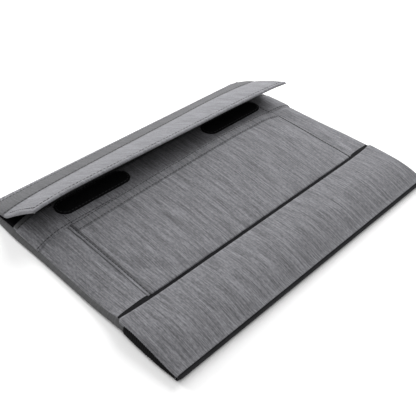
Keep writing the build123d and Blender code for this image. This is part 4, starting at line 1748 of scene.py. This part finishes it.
class ENVELOPE_OT_stitching(bpy.types.Operator):
    """Stitching: running stitches along every seam and hem"""

    bl_idname = "envelope.stitching"
    bl_label = "Stitching"

    def execute(self, context):
        lift = 0.08 * MM
        lines = []
        xs = spaced(-POCKET_X + 2 * MM, POCKET_X - 2 * MM, 3 * MM)

        def hem_face(x, y):
            return pocket_face(x, y) + 0.5 * MM

        for back in (1.6 * MM, 8.2 * MM):
            y = np.full_like(xs, POCKET_MOUTH - back)
            lines.append(on_face(hem_face, xs, y, lift))
        ys = spaced(POCKET_START + 1 * MM, POCKET_MOUTH - 1 * MM, 3 * MM)

        def tape_face(x, y):
            return front_face(x, y) + 0.42 * MM

        for side in (-1, 1):
            lines.append(on_face(tape_face, np.full_like(ys, side * (POCKET_X + 1.0 * MM)), ys, lift))
        facing_ys = spaced(FACING_START + 0.8 * MM, BINDING_START, 3 * MM)

        def facing_face(x, y):
            return front_face(x, y) + CLOTH + 0.15 * MM

        for side in (-1, 1):
            lines.append(
                on_face(facing_face, np.full_like(facing_ys, side * (POCKET_X - 1.4 * MM)), facing_ys, lift)
            )
        facing_xs = spaced(-HALF_WIDTH + 1.4 * MM, HALF_WIDTH - 1.4 * MM, 3 * MM)
        lines.append(on_face(facing_face, facing_xs, np.full_like(facing_xs, FACING_START + 1.4 * MM), lift))

        def mouth_tape_face(x, y):
            return front_face(x, y) + 0.42 * MM

        mouth_xs = spaced(-PANEL_X + 2 * MM, PANEL_X - 2 * MM, 3 * MM)
        lines.append(on_face(mouth_tape_face, mouth_xs, np.full_like(mouth_xs, MOUTH - 3.6 * MM), lift))
        stitched("seam_stitches_case", lines, "grey", "grey_cloth", "case")

        loop_low, loop_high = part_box("loop_strip_right")
        depth = 0.5 * (loop_low.y + loop_high.y)
        across = 0.5 * (loop_low.x + loop_high.x)
        lines = []
        for side in (-1, 1):
            x, y = slot_line(side * across, depth, 61 * MM, 13 * MM)
            lines.append(on_face(front_face, x, y, CLOTH + 1.0 * MM))
        xs = spaced(-HALF_WIDTH + 2 * MM, HALF_WIDTH - 2 * MM, 3 * MM)
        edge_line = np.stack([xs, np.full_like(xs, FRONT_EDGE + 0.28 * MM), np.full_like(xs, 2.5 * MM)], -1)
        lines.append(edge_line - np.array([0, 0.24 * MM, 0]))
        stitched("tape_stitches_case", lines, "black", "dark_tape", "case")

        end = SPINE_LENGTH + FLAP_LENGTH
        inset = 3.2 * MM
        runs = spaced(SPINE_LENGTH + 2.5 * MM, end - inset, 3 * MM)
        left = np.stack([-(flap_width(runs) - inset), runs], -1)
        xs = spaced(-flap_width(end) + inset, flap_width(end) - inset, 3 * MM)
        free = np.stack([xs, np.full_like(xs, end - inset)], -1)
        right = np.stack([flap_width(runs[::-1]) - inset, runs[::-1]], -1)
        route = np.concatenate([left, free[1:-1], right])
        line = hinged_face(route[:, 0], route[:, 1], FOLD_HALF + 0.25 * MM)
        stitched("hem_stitches_flap", [line], "grey", "grey_cloth", "flap")
        lines = []
        for side in (-1, 1):
            x, run = slot_line(side * across, SPINE_LENGTH + 23.7 * MM, 61 * MM, 13 * MM)
            lines.append(hinged_face(x, run, -FOLD_HALF - 0.75 * MM))
        stitched("tape_stitches_flap", lines, "black", "hook_tape", "flap")
        xs = spaced(-HALF_WIDTH + 2.5 * MM, HALF_WIDTH - 2.5 * MM, 3 * MM)
        lines = [
            hinged_face(xs, SPINE_SEAM + 1.1 * MM, FOLD_HALF + 0.12 * MM),
            hinged_face(xs, SPINE_LENGTH - FLAP_SEAM - 1.1 * MM, FOLD_HALF + 0.12 * MM),
        ]
        stitched("fold_stitches_spine", lines, "grey", "grey_binding", "spine")
        return {"FINISHED"}


# ---------------------------------------------------------------- the stage

def lamp(name, place, size, power, aim):
    data = bpy.data.lights.new(name, "AREA")
    data.shape = "DISK"
    data.size = size
    data.energy = power
    light = bpy.data.objects.new(name, data)
    light.location = place
    light.rotation_euler = (Vector(aim) - Vector(place)).to_track_quat("-Z", "Y").to_euler()
    bpy.context.scene.collection.objects.link(light)
    return light


class ENVELOPE_OT_stage(bpy.types.Operator):
    """Stage: pale floor, soft studio light and the camera"""

    bl_idname = "envelope.stage"
    bl_label = "Stage"

    def execute(self, context):
        scene = context.scene
        side = 6.0
        mesh = bpy.data.meshes.new("floor")
        mesh.from_pydata(
            [(-side, -side, -0.0002), (side, -side, -0.0002), (side, side, -0.0002), (-side, side, -0.0002)],
            [],
            [(0, 1, 2, 3)],
        )
        paper, _, shader = material("white_paper")
        shader.inputs["Base Color"].default_value = (0.94, 0.94, 0.94, 1)
        shader.inputs["Roughness"].default_value = 0.9
        shader.inputs["Specular IOR Level"].default_value = 0.1
        mesh.materials.append(paper)
        floor = bpy.data.objects.new("floor", mesh)
        scene.collection.objects.link(floor)

        world = bpy.data.worlds.new("studio")
        world.use_nodes = True
        world.node_tree.nodes["Background"].inputs["Color"].default_value = (1, 1, 1, 1)
        world.node_tree.nodes["Background"].inputs["Strength"].default_value = 0.44
        scene.world = world
        scene.view_settings.view_transform = "Standard"
        lamp("window", (0.50, 0.22, 0.45), 0.6, 5.6, (0.08, 0, 0))
        lamp("back_window", (-0.25, 0.95, 0.42), 0.5, 7.5, (-0.05, 0, 0))
        lamp("overhead", (-0.2, -0.3, 1.2), 0.9, 4.0, (-0.05, -0.05, 0))

        azimuth, elevation, roll = (math.radians(a) for a in (-48.45, 41.54, 4.39))
        back = Vector(
            (
                math.sin(azimuth) * math.cos(elevation),
                -math.cos(azimuth) * math.cos(elevation),
                math.sin(elevation),
            )
        )
        level = Vector((math.cos(azimuth), math.sin(azimuth), 0))
        above = back.cross(level)
        right = level * math.cos(roll) + above * math.sin(roll)
        up = above * math.cos(roll) - level * math.sin(roll)
        data = bpy.data.cameras.new("camera")
        data.sensor_width = 36.0
        data.lens = 56.6
        data.clip_start, data.clip_end = 0.01, 20.0
        camera = bpy.data.objects.new("camera", data)
        target = Vector((-0.0133, -0.0072, 0.0))
        place = target + back * 0.4778
        camera.matrix_world = Matrix(
            (
                (right.x, up.x, back.x, place.x),
                (right.y, up.y, back.y, place.y),
                (right.z, up.z, back.z, place.z),
                (0, 0, 0, 1),
            )
        )
        scene.collection.objects.link(camera)
        scene.camera = camera
        return {"FINISHED"}


# ---------------------------------------------------------------- the add-on

OPERATORS = (
    ENVELOPE_OT_stage,
    ENVELOPE_OT_back_panel,
    ENVELOPE_OT_front_panel,
    ENVELOPE_OT_side_walls,
    ENVELOPE_OT_edge_tapes,
    ENVELOPE_OT_accessory_pocket,
    ENVELOPE_OT_mouth_facing,
    ENVELOPE_OT_lower_pocket,
    ENVELOPE_OT_end_gussets,
    ENVELOPE_OT_spine,
    ENVELOPE_OT_flap,
    ENVELOPE_OT_closure_tape,
    ENVELOPE_OT_stitching,
)


class ENVELOPE_PT_panel(bpy.types.Panel):
    bl_label = "Tablet envelope"
    bl_idname = "ENVELOPE_PT_panel"
    bl_space_type = "VIEW_3D"
    bl_region_type = "UI"
    bl_category = "Envelope"

    def draw(self, context):
        layout = self.layout
        for settings in ("envelope_shape", "envelope_colours", "envelope_stitching"):
            group = getattr(context.scene, settings)
            box = layout.box()
            for name in group.__annotations__:
                box.prop(group, name)
        for operator in OPERATORS:
            layout.operator(operator.bl_idname)


CLASSES = (EnvelopeShape, EnvelopeColours, EnvelopeStitching, *OPERATORS, ENVELOPE_PT_panel)


def register():
    for made in CLASSES:
        bpy.utils.register_class(made)
    bpy.types.Scene.envelope_shape = bpy.props.PointerProperty(type=EnvelopeShape)
    bpy.types.Scene.envelope_colours = bpy.props.PointerProperty(type=EnvelopeColours)
    bpy.types.Scene.envelope_stitching = bpy.props.PointerProperty(type=EnvelopeStitching)


def unregister():
    del bpy.types.Scene.envelope_stitching
    del bpy.types.Scene.envelope_colours
    del bpy.types.Scene.envelope_shape
    for made in reversed(CLASSES):
        bpy.utils.unregister_class(made)


def main():
    register()
    for operator in OPERATORS:
        group, name = operator.bl_idname.split(".")
        getattr(getattr(bpy.ops, group), name)()


if __name__ == "__main__":
    main()
